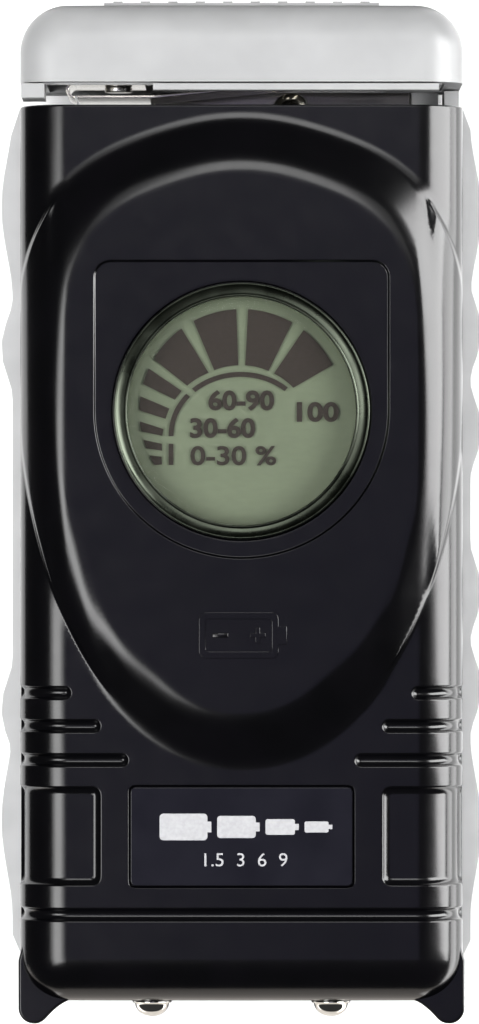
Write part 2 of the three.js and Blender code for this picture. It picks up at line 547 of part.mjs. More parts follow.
// Outline of a block with its front and back edges rounded on one or both sides, drawn with z upwards.
function roundedEnds(left, right, roundLeft) {
  const { front: f, back: b } = HEAD_ROUND;
  const shape = new THREE.Shape();
  shape.moveTo(left + (roundLeft ? b : 0), HEAD.back).lineTo(right - b, HEAD.back);
  shape.absarc(right - b, HEAD.back + b, b, -Math.PI / 2, 0);
  shape.lineTo(right, HEAD.front - f).absarc(right - f, HEAD.front - f, f, 0, Math.PI / 2);
  if (!roundLeft) return shape.lineTo(left, HEAD.front).closePath();
  shape.lineTo(left + f, HEAD.front).absarc(left + f, HEAD.front - f, f, Math.PI / 2, Math.PI);
  return shape.lineTo(left, HEAD.back + b).absarc(left + b, HEAD.back + b, b, Math.PI, Math.PI * 1.5);
}

function headCover() {
  const outer = extrudeZ(headPlan(0, HEAD.bottom), HEAD.back, HEAD.front, 8)
    .intersect(extrudeY(roundedEnds(-HEAD.halfWidth, HEAD.halfWidth, true), HEAD.bottom - 1, HEAD.top + 1, 6))
    .intersect(extrudeX(roundedEnds(HEAD.bottom, HEAD.top, false), -HEAD.halfWidth - 1, HEAD.halfWidth + 1, 6));
  const hollow = extrudeZ(headPlan(HEAD_WALL, HEAD.bottom - 2), HEAD.back + 1.6, HEAD.front - HEAD_WALL, 8);
  const screwSeats = HEAD_SCREWS.map(([x, y]) => rod("z", [x, y], 2.4, [-1, HEAD.back + 1], 20));
  const screwHoles = HEAD_SCREWS.map(([x, y]) => rod("z", [x, y], 1.4, [-1, HEAD.back + 3], 16));
  return cut(cut(outer, hollow), ...screwSeats, ...screwHoles);
}
place("head_cover", headCover(), silverPlastic);

// Raised grip pad along the top of the head, with shallow cross ribs.
function gripPad() {
  const base = block([-15, 15], [HEAD.top + 0.02, PAD_TOP - 0.2], [5.5, 18.5]);
  const ribs = [];
  for (let x = -13.5; x <= 13.5; x += 3) ribs.push(block([x - 0.5, x + 0.5], [HEAD.top + 0.1, PAD_TOP], [6, 18]));
  return join(base, ...ribs);
}
place("head_grip_pad", gripPad(), greyPlastic);

// Closes the head from below. Its front lip shows under the cover to the right of the leaf's window.
function headBase() {
  const behind = HEAD.back + 1.9; // clear of the cover's back wall
  const ahead = HEAD.front - HEAD_WALL - 0.3;
  const inner = HEAD.halfWidth - HEAD_WALL - 0.3;
  const stemFront = RAIL_FRONT + 0.3;
  const plug = block([-inner, inner], [HEAD_UNDERSIDE, 49.6], [behind, ahead]);
  const stemSlot = block([STEM.left - 0.3, STEM.right + 0.2], [HEAD_UNDERSIDE - 1, 60], [0, stemFront]);
  const leafPocket = block([-21.2, 16], [HEAD_UNDERSIDE - 1, 49], [8, 20.45]);
  const screwBlock = block([-5, 16], [49.4, 53], [stemFront, 11.5]);
  const pilots = HEAD_SCREWS.map(([x, y]) => rod("z", [x, y], 1, [0, 10.5], 12));
  const lip = block([-9.6, 21.4], [45.75, HEAD.bottom - 0.15], [ahead - 0.4, HEAD.front - 0.5]);
  const lipJoin = block([-9.6, 21.4], [HEAD_UNDERSIDE - 0.1, HEAD.bottom + 1.2], [ahead - 0.6, ahead]);
  const leftCorner = block([-HEAD.halfWidth + 0.2, -21.4], [44.9, HEAD.bottom - 0.15], [behind, HEAD.front - 0.6]);
  const rightSkirt = block([22.4, HEAD.halfWidth - 0.1], [44.6, HEAD.bottom - 0.15], [behind, 10]);
  const rightJoin = block([inner - 1, 22.6], [HEAD_UNDERSIDE, HEAD.bottom - 0.15], [8, 10]);
  const leftJoin = block([-inner - 1, -21.3], [HEAD_UNDERSIDE, HEAD.bottom - 0.15], [behind, ahead]);
  const anchor = block([-17, -10], [LEAF.upper + 0.3, 49.2], [10, 19]);
  return cut(join(cut(plug, stemSlot, leafPocket), anchor, screwBlock, lip, lipJoin, leftCorner, leftJoin, rightSkirt, rightJoin),
    ...pilots, rod("y", [-13.5, 0, 14.5], 0.9, [40, 48.6], 12));
}

// ---------------------------------------------------------------------------------------------- contact leaf
// One strip of spring metal. It is split at the end of its bend, where the blade flexes.
const LEAF = { thickness: 0.3, upper: 46.7, lower: 45.15, bendX: -18.2, z: [9, 20.2] };
place("head_base", headBase(), silverPlastic);

function leafRoot() {
  const radius = (LEAF.upper - LEAF.lower) / 2;
  const middle = (LEAF.upper + LEAF.lower) / 2;
  const half = LEAF.thickness / 2;
  const shape = new THREE.Shape();
  shape.moveTo(-10.5, LEAF.upper - half).lineTo(-10.5, LEAF.upper + half).lineTo(LEAF.bendX, LEAF.upper + half);
  shape.absarc(LEAF.bendX, middle, radius + half, Math.PI / 2, Math.PI * 1.5);
  shape.lineTo(LEAF.bendX, LEAF.lower + half);
  shape.absarc(LEAF.bendX, middle, radius - half, Math.PI * 1.5, Math.PI / 2, true);
  const strip = extrudeZ(shape, ...LEAF.z, 10);
  return cut(strip, rod("y", [-13.5, 0, 14.5], 1, [40, 50], 12));
}
place("contact_leaf_root", leafRoot(), nickel);

function leafBlade() {
  const half = LEAF.thickness / 2;
  const line = [
    [LEAF.bendX + 0.3, LEAF.lower],
    [-9.5, LEAF.lower],
    [5.5, 46.65],
    [11, 46.9],
    [12.5, 47.3],
  ];
  const shape = new THREE.Shape();
  line.forEach(([x, y], i) => (i ? shape.lineTo(x, y + half) : shape.moveTo(x, y + half)));
  line.reverse().forEach(([x, y]) => shape.lineTo(x, y - half));
  return extrudeZ(shape.closePath(), ...LEAF.z);
}
place("contact_leaf_blade", leafBlade(), nickel);

function leafRivet() {
  const foot = rod("y", [-13.5, 0, 14.5], 1.5, [LEAF.upper - 0.75, LEAF.upper - 0.17], 16);
  return join(foot, rod("y", [-13.5, 0, 14.5], 0.7, [LEAF.upper - 0.5, 48.4], 12));
}
place("leaf_rivet", leafRivet(), steel);

HEAD_SCREWS.forEach(([x, y], i) => {
  const head = rod("z", [x, y], 2.1, [HEAD.back + 0.1, HEAD.back + 0.9], 20);
  const shank = rod("z", [x, y], 0.9, [HEAD.back + 0.5, 10], 12);
  const slot = block([x - 1.3, x + 1.3], [y - 0.25, y + 0.25], [HEAD.back - 1, HEAD.back + 0.5]);
  place(`head_screw_${i + 1}`, cut(join(head, shank), slot), steel);
});

export default tester;
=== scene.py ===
# Looks of a hand-held battery tester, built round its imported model. Lengths in the tables are in millimetres.

import math

import bmesh
import bpy
import numpy as np
from mathutils import Matrix, Vector, kdtree
from mathutils.geometry import delaunay_2d_cdt


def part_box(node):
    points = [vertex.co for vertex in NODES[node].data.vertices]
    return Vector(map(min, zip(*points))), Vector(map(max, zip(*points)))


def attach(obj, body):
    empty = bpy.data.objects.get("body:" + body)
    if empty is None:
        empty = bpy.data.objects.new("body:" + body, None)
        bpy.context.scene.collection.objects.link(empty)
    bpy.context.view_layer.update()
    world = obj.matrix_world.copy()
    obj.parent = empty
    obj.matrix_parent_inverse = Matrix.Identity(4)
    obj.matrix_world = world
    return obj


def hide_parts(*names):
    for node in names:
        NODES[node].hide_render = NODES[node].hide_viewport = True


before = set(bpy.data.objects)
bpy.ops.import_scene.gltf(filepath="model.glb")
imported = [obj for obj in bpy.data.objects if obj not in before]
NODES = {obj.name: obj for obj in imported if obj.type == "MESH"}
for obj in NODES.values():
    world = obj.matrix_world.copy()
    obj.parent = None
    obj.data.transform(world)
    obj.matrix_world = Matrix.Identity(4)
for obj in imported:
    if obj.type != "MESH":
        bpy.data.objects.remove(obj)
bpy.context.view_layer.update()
MM = 0.001


def box_mm(node):
    low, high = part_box(node)
    return [v / MM for v in low], [v / MM for v in high]


# ---------------- materials
class Paint:
    """A new procedural material, with helpers that add its nodes. All of them read object coordinates."""

    def __init__(self, name):
        self.material = bpy.data.materials.new(name)
        self.material.use_nodes = True
        self.inputs = self.material.node_tree.nodes["Principled BSDF"].inputs
        self.place = self.add("TexCoord").outputs["Object"]

    def add(self, kind, **values):
        """Adds a node and sets its inputs, which are named with _ for a space."""
        node = self.material.node_tree.nodes.new("ShaderNode" + kind)
        for name, value in values.items():
            node.inputs[name.replace("_", " ")].default_value = value
        return node

    def link(self, value, socket):
        self.material.node_tree.links.new(value, socket)

    def noise(self, scale, detail=3.0, stretch=None):
        place = self.place
        if stretch:
            mapping = self.add("Mapping", Scale=stretch)
            self.link(place, mapping.inputs["Vector"])
            place = mapping.outputs["Vector"]
        texture = self.add("TexNoise", Scale=scale, Detail=detail)
        self.link(place, texture.inputs["Vector"])
        return texture.outputs["Fac"]

    def ramp(self, value, *stops):
        """Turns a value into colours, by stops of (position, colour)."""
        table = self.add("ValToRGB")
        elements = table.color_ramp.elements
        while len(elements) < len(stops):
            elements.new(0.5)
        for element, (position, color) in zip(elements, stops):
            element.position = position
            element.color = (*color, 1)
        self.link(value, table.inputs["Fac"])
        return table.outputs["Color"]

    def between(self, value, start, end, low=0, high=1):
        """Maps a value from one range to another."""
        mapped = self.add("MapRange", From_Min=start, From_Max=end, To_Min=low, To_Max=high)
        self.link(value, mapped.inputs["Value"])
        return mapped.outputs["Result"]

    def along(self, axis, start, end):
        """Goes from 0 to 1 between two places in millimetres along an axis."""
        split = self.add("SeparateXYZ")
        self.link(self.place, split.inputs["Vector"])
        return self.between(split.outputs[axis], start * MM, end * MM)

    def span(self, value, low, high):
        """Spreads the middle of a noise value over a range from low to high."""
        return self.between(value, 0.3, 0.7, low, high)

    def finish(self, color, rough, *bumps):
        """Feeds the shader a colour, any roughness and a chain of bumps of (value, depth in mm, strength)."""
        self.link(color, self.inputs["Base Color"])
        if rough:
            self.link(rough, self.inputs["Roughness"])
        normal = None
        for value, depth, strength in bumps:
            node = self.add("Bump", Distance=depth * MM, Strength=strength)
            self.link(value, node.inputs["Height"])
            if normal:
                self.link(normal, node.inputs["Normal"])
            normal = node.outputs["Normal"]
        self.link(normal, self.inputs["Normal"])
        return self.material


def plastic(name, dark, light, rough, grain=(9000, 0.01, 0.35)):
    """Moulded plastic: a faint mottle, uneven gloss and a fine grain of (scale, depth, strength)."""
    paint = Paint(name)
    scale, depth, strength = grain
    broad, fine = paint.noise(160, 2), paint.noise(scale, 2)
    return paint.finish(paint.ramp(broad, (0.35, dark), (0.65, light)),
                        paint.span(paint.noise(420, 4), rough * 0.92, rough * 1.08),
                        (broad, 0.02, 0.03), (fine, depth, strength))


def metal(name, dark, light, rough, scale=900, stretch=(1, 1, 1), depth=0.004):
    """Plated or rolled metal: streaked along one direction, with small scratches."""
    paint = Paint(name)
    streak, fine = paint.noise(scale, 5, stretch), paint.noise(6000, 2)
    paint.inputs["Metallic"].default_value = 1.0
    return paint.finish(paint.ramp(streak, (0.3, dark), (0.7, light)),
                        paint.span(streak, rough * 0.7, rough * 1.3),
                        (streak, depth, 0.3), (fine, depth, 0.15))


def board_material():
    """Green solder mask over rows of tracks."""
    paint = Paint("solder_mask")
    tracks = paint.add("TexBrick", Scale=260, Color1=(0.020, 0.105, 0.040, 1), Color2=(0.028, 0.135, 0.052, 1),
                       Mortar=(0.050, 0.210, 0.085, 1), Mortar_Size=0.06)
    paint.link(paint.place, tracks.inputs["Vector"])
    paint.inputs["Roughness"].default_value = 0.3
    return paint.finish(tracks.outputs["Color"], None, (tracks.outputs["Fac"], 0.03, 0.4))


def resistor_material(node):
    """A beige body with colour rings round it, spread along a resistor's node."""
    paint = Paint("resistor_rings")
    low, high = box_mm(node)
    middle, half = (low[0] + high[0]) / 2, 4.5
    body, red, black, gold = (0.55, 0.50, 0.38), (0.45, 0.03, 0.02), (0.02, 0.02, 0.02), (0.5, 0.33, 0.08)
    colors = paint.ramp(paint.along("X", middle - half, middle + half),
                        (0, body), (0.15, red), (0.23, body), (0.33, black), (0.41, body), (0.5, red),
                        (0.58, body), (0.8, gold), (0.88, body))
    colors.node.color_ramp.interpolation = "CONSTANT"
    fine = paint.noise(3000, 2)
    return paint.finish(colors, paint.span(fine, 0.3, 0.45), (fine, 0.01, 0.3))


def display_material():
    """Reflector seen through liquid crystal: grey-green with a brushed grain, and painted shade that makes it a
    little darker towards the top.
    """
    paint = Paint("display_green")
    # Painted shade: the green ramps a little darker towards the top of the display.
    green = paint.ramp(paint.along("Y", 24, -2), (0, (0.082, 0.101, 0.061)), (1, (0.089, 0.108, 0.066)))
    grain = paint.noise(2500, 4, (0.35, 1, 1))
    mix = paint.add("Mix")
    mix.data_type = "RGBA"
    mix.blend_type = "MULTIPLY"
    mix.inputs["Factor"].default_value = 0.25
    paint.link(green, mix.inputs["A"])
    paint.link(paint.ramp(grain, (0.35, (0.75, 0.75, 0.75)), (0.65, (1.1, 1.1, 1.1))), mix.inputs["B"])
    return paint.finish(mix.outputs["Result"], paint.span(grain, 0.42, 0.55), (grain, 0.004, 0.2))


def clear_material(name, tint, alpha, rough=0.03):
    """Clear plastic, faintly tinted and faintly smeared."""
    paint = Paint(name)
    smear = paint.noise(220, 3)
    paint.inputs["Alpha"].default_value = alpha
    lighter = tuple(c * 1.05 for c in tint)
    return paint.finish(paint.ramp(smear, (0.3, tint), (0.7, lighter)), paint.span(smear, rough, rough + 0.04),
                        (smear, 0.01, 0.05))


def ink_material(name, dark, light, specular=0.5):
    """Printed ink or foil: two close shades and a fine unevenness."""
    paint = Paint(name)
    fine = paint.noise(2500, 3)
    paint.inputs["Specular IOR Level"].default_value = specular
    return paint.finish(paint.ramp(fine, (0.35, dark), (0.65, light)), paint.span(fine, 0.4, 0.5),
                        (fine, 0.003, 0.2))


BLACK = plastic("satin_black", (0.0007, 0.0007, 0.0010), (0.0011, 0.0010, 0.0015), 0.185, (7000, 0.006, 0.13))
SILVER = plastic("silver_grey", (0.262, 0.264, 0.266), (0.290, 0.292, 0.294), 0.38, (6000, 0.010, 0.25))
# A lighter copy of the silver plastic for the back shell: painted light that stands in for the light falling on
# its sides.
SILVER_PAINTED_LIGHT = plastic("silver_painted_light", (0.42, 0.422, 0.425), (0.47, 0.472, 0.475), 0.38, (6000, 0.010, 0.25))
GREY = plastic("mid_grey", (0.26, 0.26, 0.265), (0.32, 0.32, 0.325), 0.55, (5000, 0.02, 0.4))
GLOSS = plastic("gloss_black", (0.003, 0.003, 0.0045), (0.005, 0.005, 0.007), 0.12, (3000, 0.002, 0.1))
WHITE = plastic("white_moulding", (0.74, 0.74, 0.71), (0.80, 0.80, 0.77), 0.5)
EPOXY = plastic("chip_epoxy", (0.015, 0.015, 0.016), (0.03, 0.03, 0.032), 0.55, (4000, 0.03, 0.5))
RUBBER = plastic("layered_rubber", (0.06, 0.06, 0.065), (0.16, 0.16, 0.165), 0.75)
NICKEL = metal("nickel", (0.60, 0.57, 0.50), (0.74, 0.71, 0.64), 0.20, 500, (0.2, 4, 4))
DOME_NICKEL = metal("dome_nickel", (0.70, 0.69, 0.66), (0.84, 0.83, 0.80), 0.10, 700)
CHROME = metal("ring_chrome", (0.050, 0.058, 0.044), (0.066, 0.075, 0.058), 0.30, 300)
STEEL = metal("zinc_steel", (0.50, 0.50, 0.51), (0.66, 0.66, 0.67), 0.32, 1500)
COPPER = metal("copper_strip", (0.52, 0.26, 0.13), (0.68, 0.38, 0.20), 0.28, 700, (0.3, 4, 4))
BOARD = board_material()
RESISTOR = resistor_material("load_resistor_1")
DISPLAY = display_material()
LENS = clear_material("clear_lens", (0.07, 0.085, 0.06), 0.04)
SEGMENT = ink_material("segment_ink", (0.019, 0.014, 0.013), (0.023, 0.017, 0.016), 0.1)
PRINT = ink_material("pale_print", (0.29, 0.29, 0.30), (0.34, 0.34, 0.35))
LABEL = ink_material("foil_label", (0.55, 0.56, 0.57), (0.64, 0.65, 0.66))


# ---------------- mesh helpers
def finish_piece(obj, material, body, replaces=()):
    """Gives a piece its material, the body it rides on and the CAD nodes that it stands for."""
    obj.data.materials.clear()
    obj.data.materials.append(material)
    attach(obj, body)
    if replaces:
        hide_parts(*replaces)
    return obj


def new_object(name, mesh):
    obj = bpy.data.objects.new(name, mesh)
    bpy.context.scene.collection.objects.link(obj)
    return obj


def mesh_from_bmesh(name, bm, smooth_angle=32):
    bmesh.ops.recalc_face_normals(bm, faces=bm.faces)
    mesh = bpy.data.meshes.new(name)
    bm.to_mesh(mesh)
    bm.free()
    mesh.polygons.foreach_set("use_smooth", [True] * len(mesh.polygons))
    mesh.set_sharp_from_angle(angle=math.radians(smooth_angle))
    return mesh


def apply_modifiers(obj):
    graph = bpy.context.evaluated_depsgraph_get()
    made = bpy.data.meshes.new_from_object(obj.evaluated_get(graph))
    obj.modifiers.clear()
    old = obj.data
    obj.data = made
    bpy.data.meshes.remove(old)
    return obj


def boolean(obj, operation, *tools):
    for tool in tools:
        cutter = obj.modifiers.new("boolean", "BOOLEAN")
        cutter.operation = operation
        cutter.solver = "EXACT"
        cutter.object = tool
    bpy.context.view_layer.update()
    apply_modifiers(obj)
    for tool in tools:
        bpy.data.objects.remove(tool)
    return obj


def mend(obj, reach=0.01):
    """Merges the slivers that a cut leaves and fills any hole they leave open."""
    bm = bmesh.new()
    bm.from_mesh(obj.data)
    bmesh.ops.remove_doubles(bm, verts=bm.verts, dist=reach * MM)
    bmesh.ops.dissolve_degenerate(bm, dist=reach * MM, edges=bm.edges)
    bmesh.ops.holes_fill(bm, edges=[edge for edge in bm.edges if edge.is_boundary], sides=0)
    bm.to_mesh(obj.data)
    bm.free()


def soften(obj, width, segments=2, angle=32):
    """Rounds every sharp edge of an object by width millimetres."""
    bevel = obj.modifiers.new("bevel", "BEVEL")
    bevel.width = width * MM
    bevel.segments = segments
    bevel.limit_method = "ANGLE"
    bevel.angle_limit = math.radians(angle)
    bevel.use_clamp_overlap = True
    bpy.context.view_layer.update()
    apply_modifiers(obj)
    mesh = obj.data
    mesh.polygons.foreach_set("use_smooth", [True] * len(mesh.polygons))
    mesh.set_sharp_from_angle(angle=math.radians(40))
    weighted = obj.modifiers.new("flat_faces", "WEIGHTED_NORMAL")
    weighted.keep_sharp = True
    weighted.weight = 100
    bpy.context.view_layer.update()
    return apply_modifiers(obj)


def refined(node, name, material, body, width=0.15, segments=2):
    """A copy of a CAD node with its flat faces merged and its edges rounded, which stands for the node."""
    bm = bmesh.new()
    bm.from_mesh(NODES[node].data)
    bmesh.ops.remove_doubles(bm, verts=bm.verts, dist=2e-6)
    bmesh.ops.dissolve_limit(bm, angle_limit=math.radians(1), verts=bm.verts, edges=bm.edges)
    obj = new_object(name, mesh_from_bmesh(name, bm))
    soften(obj, width, segments)
    return finish_piece(obj, material, body, (node,))


def prism(name, outline, low, high, axis="z"):
    """A closed polygon of (u, v) points in millimetres made solid between two heights along an axis.

    The outline is (x, y) for axis z and (x, z) for axis y.
    """
    place = {"z": lambda u, v, w: (u, v, w), "y": lambda u, v, w: (u, w, v)}[axis]
    bm = bmesh.new()
    rings = [[bm.verts.new(Vector(place(u, v, w)) * MM) for u, v in outline] for w in (low, high)]
    count = len(outline)
    for i in range(count):
        j = (i + 1) % count
        bm.faces.new((rings[0][i], rings[0][j], rings[1][j], rings[1][i]))
    bm.faces.new(rings[0])
    bm.faces.new(rings[1])
    return new_object(name, mesh_from_bmesh(name, bm))


def lathe(name, profile, centre, axis="z", sides=96, outward=1):
    """Turns (radius, height) points about an axis through centre. The profile closes on the axis or on itself.

    For axis y, outward is 1 when the heights run towards +Y and -1 when they run towards -Y.
    """
    bm = bmesh.new()
    turn = {"z": Matrix.Identity(3), "y": Matrix.Rotation(-math.pi / 2 * outward, 3, "X")}[axis]
    rings = []
    for radius, height in profile:
        if radius < 1e-6:
            rings.append([bm.verts.new((turn @ Vector((0, 0, height)) + Vector(centre)) * MM)])
            continue
        ring = []
        for k in range(sides):
            angle = 2 * math.pi * k / sides
            local = Vector((radius * math.cos(angle), radius * math.sin(angle), height))
            ring.append(bm.verts.new((turn @ local + Vector(centre)) * MM))
        rings.append(ring)
    closed = profile[0][0] > 1e-6 and profile[-1][0] > 1e-6
    pairs = list(zip(rings, rings[1:])) + ([(rings[-1], rings[0])] if closed else [])
    for low, high in pairs:
        for k in range(sides):
            j = (k + 1) % sides
            if len(low) == 1 and len(high) == 1:
                continue
            if len(low) == 1:
                bm.faces.new((low[0], high[k], high[j]))
            elif len(high) == 1:
                bm.faces.new((low[k], low[j], high[0]))
            else:
                bm.faces.new((low[k], low[j], high[j], high[k]))
    return new_object(name, mesh_from_bmesh(name, bm, 40))


def arc(cx, cy, radius, start, end, steps):
    """Points on an arc, with angles in degrees."""
    turns = np.radians(np.linspace(start, end, steps + 1))
    return [(cx + radius * math.cos(t), cy + radius * math.sin(t)) for t in turns]


def rounded_rectangle(x0, x1, y0, y1, r, steps=6):
    return (arc(x1 - r, y0 + r, r, -90, 0, steps) + arc(x1 - r, y1 - r, r, 0, 90, steps)
            + arc(x0 + r, y1 - r, r, 90, 180, steps) + arc(x0 + r, y0 + r, r, 180, 270, steps))


def joined(name, *objects):
    """One object that holds several closed solids."""
    bm = bmesh.new()
    for obj in objects:
        bm.from_mesh(obj.data)
        bpy.data.objects.remove(obj)
    return new_object(name, mesh_from_bmesh(name, bm, 40))


# ---------------- front shell
SHELL_LOW, SHELL_HIGH = box_mm("front_shell")
HALF = SHELL_HIGH[0]
TOP = SHELL_HIGH[1]
FIELD_Z = SHELL_HIGH[2]
SEAM = SHELL_LOW[2]
FACE = FIELD_Z - 2.2
BOTTOM = SHELL_LOW[1] + 2.25
WALL = 1.8
SIDE_ROUND, END_ROUND = 5.3, 5.0
CORE_X, CORE_Y = HALF - SIDE_ROUND, BOTTOM + END_ROUND
FLANK = FACE - SEAM

FIELD = dict(half=24.9, top=42.8, widest=18.5, bottom=-27.6)
# How far inside the field's foot its wall starts, becomes straight, starts to round over and ends.
SLOPE = (-0.7, 0.9, 3.5, 6.1)
FLANK_BROW = 5.0  # where it ends on the flanks, where it rounds over all the way up
DISPLAY_CENTRE = (0.0, 10.9)
WINDOW = 13.9
INSET = dict(half=16.1, top=27.3, depth=0.22, wall=0.34, corner=1.9)
GRIPS = [(-19.7, 18.5), (-23.3, 15.3), (-27.0, 12.3)]
CROSS_GROOVE = -43.8
PANEL = dict(inner=15.3, low=-40.6, high=-29.9, corner=0.9)
NAME = dict(half=12.3, low=-40.9, high=-29.7, depth=0.5, corner=0.7)


def smooth(t):
    """Goes from 0 to 1 with t, level and without curvature at both ends."""
    t = np.clip(t, 0, 1)
    return t * t * t * (t * (6 * t - 15) + 10)


def hollow_table(width, steepest, shoulder, brow):
    """Depth of a round hollow by distance outside its edge: level at -width, steepest at the shoulder."""
    at = np.linspace(-width, brow, 161)
    tilt = np.interp(at, (-width, shoulder, brow), (0, math.radians(steepest), 0))
    rise = np.concatenate([[0], np.cumsum((np.tan(tilt[1:]) + np.tan(tilt[:-1])) / 2 * np.diff(at))])
    return at, rise[-1] - rise


GROOVE_HALF = 0.70
GROOVE = hollow_table(GROOVE_HALF, 55, -0.10, 0.13)
PANEL_EDGE = hollow_table(0.85, 52, -0.10, 0.13)
GROOVE_STEPS = (0.13, 0.07, 0.01, -0.05, -0.10, -0.17, -0.26, -0.38, -0.50, -0.62)
PANEL_STEPS = (0.13, 0.07, 0.01, -0.05, -0.10, -0.20, -0.35, -0.52, -0.70, -0.85)


def wall_rise(d):
    """Rises from 0 to 1 as d goes through SLOPE, hollow at the foot, straight, then rounded over."""
    a, b, c, e = SLOPE
    peak = 2 / (e + c - b - a)
    d = np.clip(d, a, e)
    low = peak * (d - a) ** 2 / (2 * (b - a))
    middle = peak * ((b - a) / 2 + d - b)
    high = 1 - peak * (e - d) ** 2 / (2 * (e - c))
    return np.where(d < b, low, np.where(d > c, high, middle))


def field_level(x, y):
    """1 on the raised field's foot and 0 at its widest line's middle. It is squarer in its upper half."""
    up = y > FIELD["widest"]
    reach = np.where(up, FIELD["top"] - FIELD["widest"], FIELD["widest"] - FIELD["bottom"])
    u = np.abs(x) / FIELD["half"] + 1e-9
    v = np.abs(y - FIELD["widest"]) / reach + 1e-9
    power = np.where(up, 2.0 + 0.28 * smooth((u - 0.15) / 0.75), 2.1)
    return (u**power + v**power) ** (1 / power)


def field_inside(x, y):
    """Distance inside the raised field's foot, to first order. Its wall is steeper low on the flanks."""
    e = 0.02
    level = field_level(x, y)
    gx = (field_level(x + e, y) - field_level(x - e, y)) / (2 * e)
    gy = (field_level(x, y + e) - field_level(x, y - e)) / (2 * e)
    inside = (1 - level) / np.maximum(np.hypot(gx, gy), 0.01)
    steeper = 0.15 * smooth((16 - y) / 16) + 0.15 * smooth((-2 - y) / 10)
    return inside * (1 + smooth((np.abs(x) - 8) / 8) * steeper)


def field_rise(x, y):
    """Height of the field above the body. On the flanks a steep little step takes part of its height."""
    inside = field_inside(x, y)
    step = 0.36 * smooth((np.abs(x) - 19.7) / 2.0)
    brow = 1 - (1 - np.clip(inside / FLANK_BROW, 0, 1)) ** 2
    flank = 0.85 * smooth((np.abs(x) - 13) / 5) * smooth((27 - y) / 18)
    wall = flank * brow * smooth((inside + 0.15) / 0.9) + (1 - flank) * wall_rise(inside)
    return (FIELD_Z - FACE) * (step * smooth(inside / 0.55) + (1 - step) * wall)


def box_distance(p, q, x0, x1, y0, y1, r):
    """Distance outside a rectangle with round corners; negative inside."""
    dx = np.abs(p - (x0 + x1) / 2) - (x1 - x0) / 2 + r
    dy = np.abs(q - (y0 + y1) / 2) - (y1 - y0) / 2 + r
    return np.hypot(np.maximum(dx, 0), np.maximum(dy, 0)) + np.minimum(np.maximum(dx, dy), 0) - r


def inset_distance(p, q):
    """Distance outside the step round the display: round below its middle, square above."""
    cx, cy = DISPLAY_CENTRE
    round_part = np.hypot(p - cx, q - cy) - INSET["half"]
    square_part = box_distance(p, q, -INSET["half"], INSET["half"], cy - 5, INSET["top"], INSET["corner"])
    return np.where(q < cy, round_part, square_part)


FLANK_END = CORE_X + SIDE_ROUND * math.pi / 2 + FLANK - SIDE_ROUND  # how far the unrolled skin reaches sideways
GROOVE_END = FLANK_END - 1.1
FUNNEL_WIDTH, FUNNEL_DEPTH = 0.22, 0.3  # the slope round the display's opening
END_EDGE = 0.2  # radius of the edge at the upper end


def sunk(p, q):
    """Depth that grooves, panels and recesses are sunk below the skin."""
    side = np.abs(p)
    depth = np.zeros_like(p)
    for height, inner in GRIPS:
        d = box_distance(side, q, inner, GROOVE_END, height - GROOVE_HALF, height + GROOVE_HALF, GROOVE_HALF)
        depth = np.maximum(depth, np.interp(d, *GROOVE))
    d = box_distance(p, q, -GROOVE_END, GROOVE_END, CROSS_GROOVE - GROOVE_HALF, CROSS_GROOVE + GROOVE_HALF,
                     GROOVE_HALF)
    depth = np.maximum(depth, np.interp(d, *GROOVE))
    d = box_distance(side, q, PANEL["inner"], GROOVE_END, PANEL["low"], PANEL["high"], PANEL["corner"])
    depth = np.maximum(depth, np.interp(d, *PANEL_EDGE))
    d = box_distance(p, q, -NAME["half"], NAME["half"], NAME["low"], NAME["high"], NAME["corner"])
    depth = np.maximum(depth, NAME["depth"] * smooth((0.05 - d) / 0.3))
    depth = depth + INSET["depth"] * smooth(-inset_distance(p, q) / INSET["wall"])
    r = np.hypot(p - DISPLAY_CENTRE[0], q - DISPLAY_CENTRE[1])
    depth = depth + FUNNEL_DEPTH * np.clip((WINDOW + FUNNEL_WIDTH - r) / FUNNEL_WIDTH, 0, 1) ** 1.7
    past = np.clip(q - (TOP - END_EDGE), 0, END_EDGE)
    return depth + END_EDGE - np.sqrt(np.maximum(END_EDGE**2 - past**2, 0))


def skin(p, q, offset=0.0, detailed=True):
    """Maps the unrolled skin (p across, q along) to points in space. offset is how far below the skin."""
    cx = np.clip(p, -CORE_X, CORE_X)
    cy = np.maximum(q, CORE_Y)
    wx, wy = p - cx, q - cy
    s = np.hypot(wx, wy)
    safe = np.maximum(s, 1e-9)
    ex, ey = wx / safe, wy / safe
    radius = np.where(s > 1e-9, np.hypot(SIDE_ROUND * ex, END_ROUND * ey), SIDE_ROUND)
    turn = np.minimum(s / radius, math.pi / 2)
    drop = radius * (1 - np.cos(turn)) + np.maximum(0, s - radius * math.pi / 2)
    x = cx + SIDE_ROUND * np.sin(turn) * ex
    y = cy + END_ROUND * np.sin(turn) * ey
    z = SEAM + (FLANK - drop) * (1 + field_rise(x, y) / FLANK)
    depth = offset + (sunk(p, q) if detailed else 0)
    inwards = depth * np.sin(turn)
    return np.stack([x - inwards * ex, y - inwards * ey, z - depth * np.cos(turn)], -1)


def skin_normals(p, q):
    """Unit normals of the detailed skin, from differences."""
    e = 0.01
    along = skin(p + e, q) - skin(p - e, q)
    across = skin(p, q + e) - skin(p, q - e)
    n = np.cross(along, across)
    return n / np.maximum(np.linalg.norm(n, axis=-1, keepdims=True), 1e-12)


def resample(points, spacing):
    """Even points round a closed loop."""
    loop = np.array(points + [points[0]], float)
    steps = np.linalg.norm(np.diff(loop, axis=0), axis=1)
    reach = np.concatenate([[0], np.cumsum(steps)])
    count = max(8, int(round(reach[-1] / spacing)))
    at = np.linspace(0, reach[-1], count, endpoint=False)
    return np.stack([np.interp(at, reach, loop[:, 0]), np.interp(at, reach, loop[:, 1])], -1)


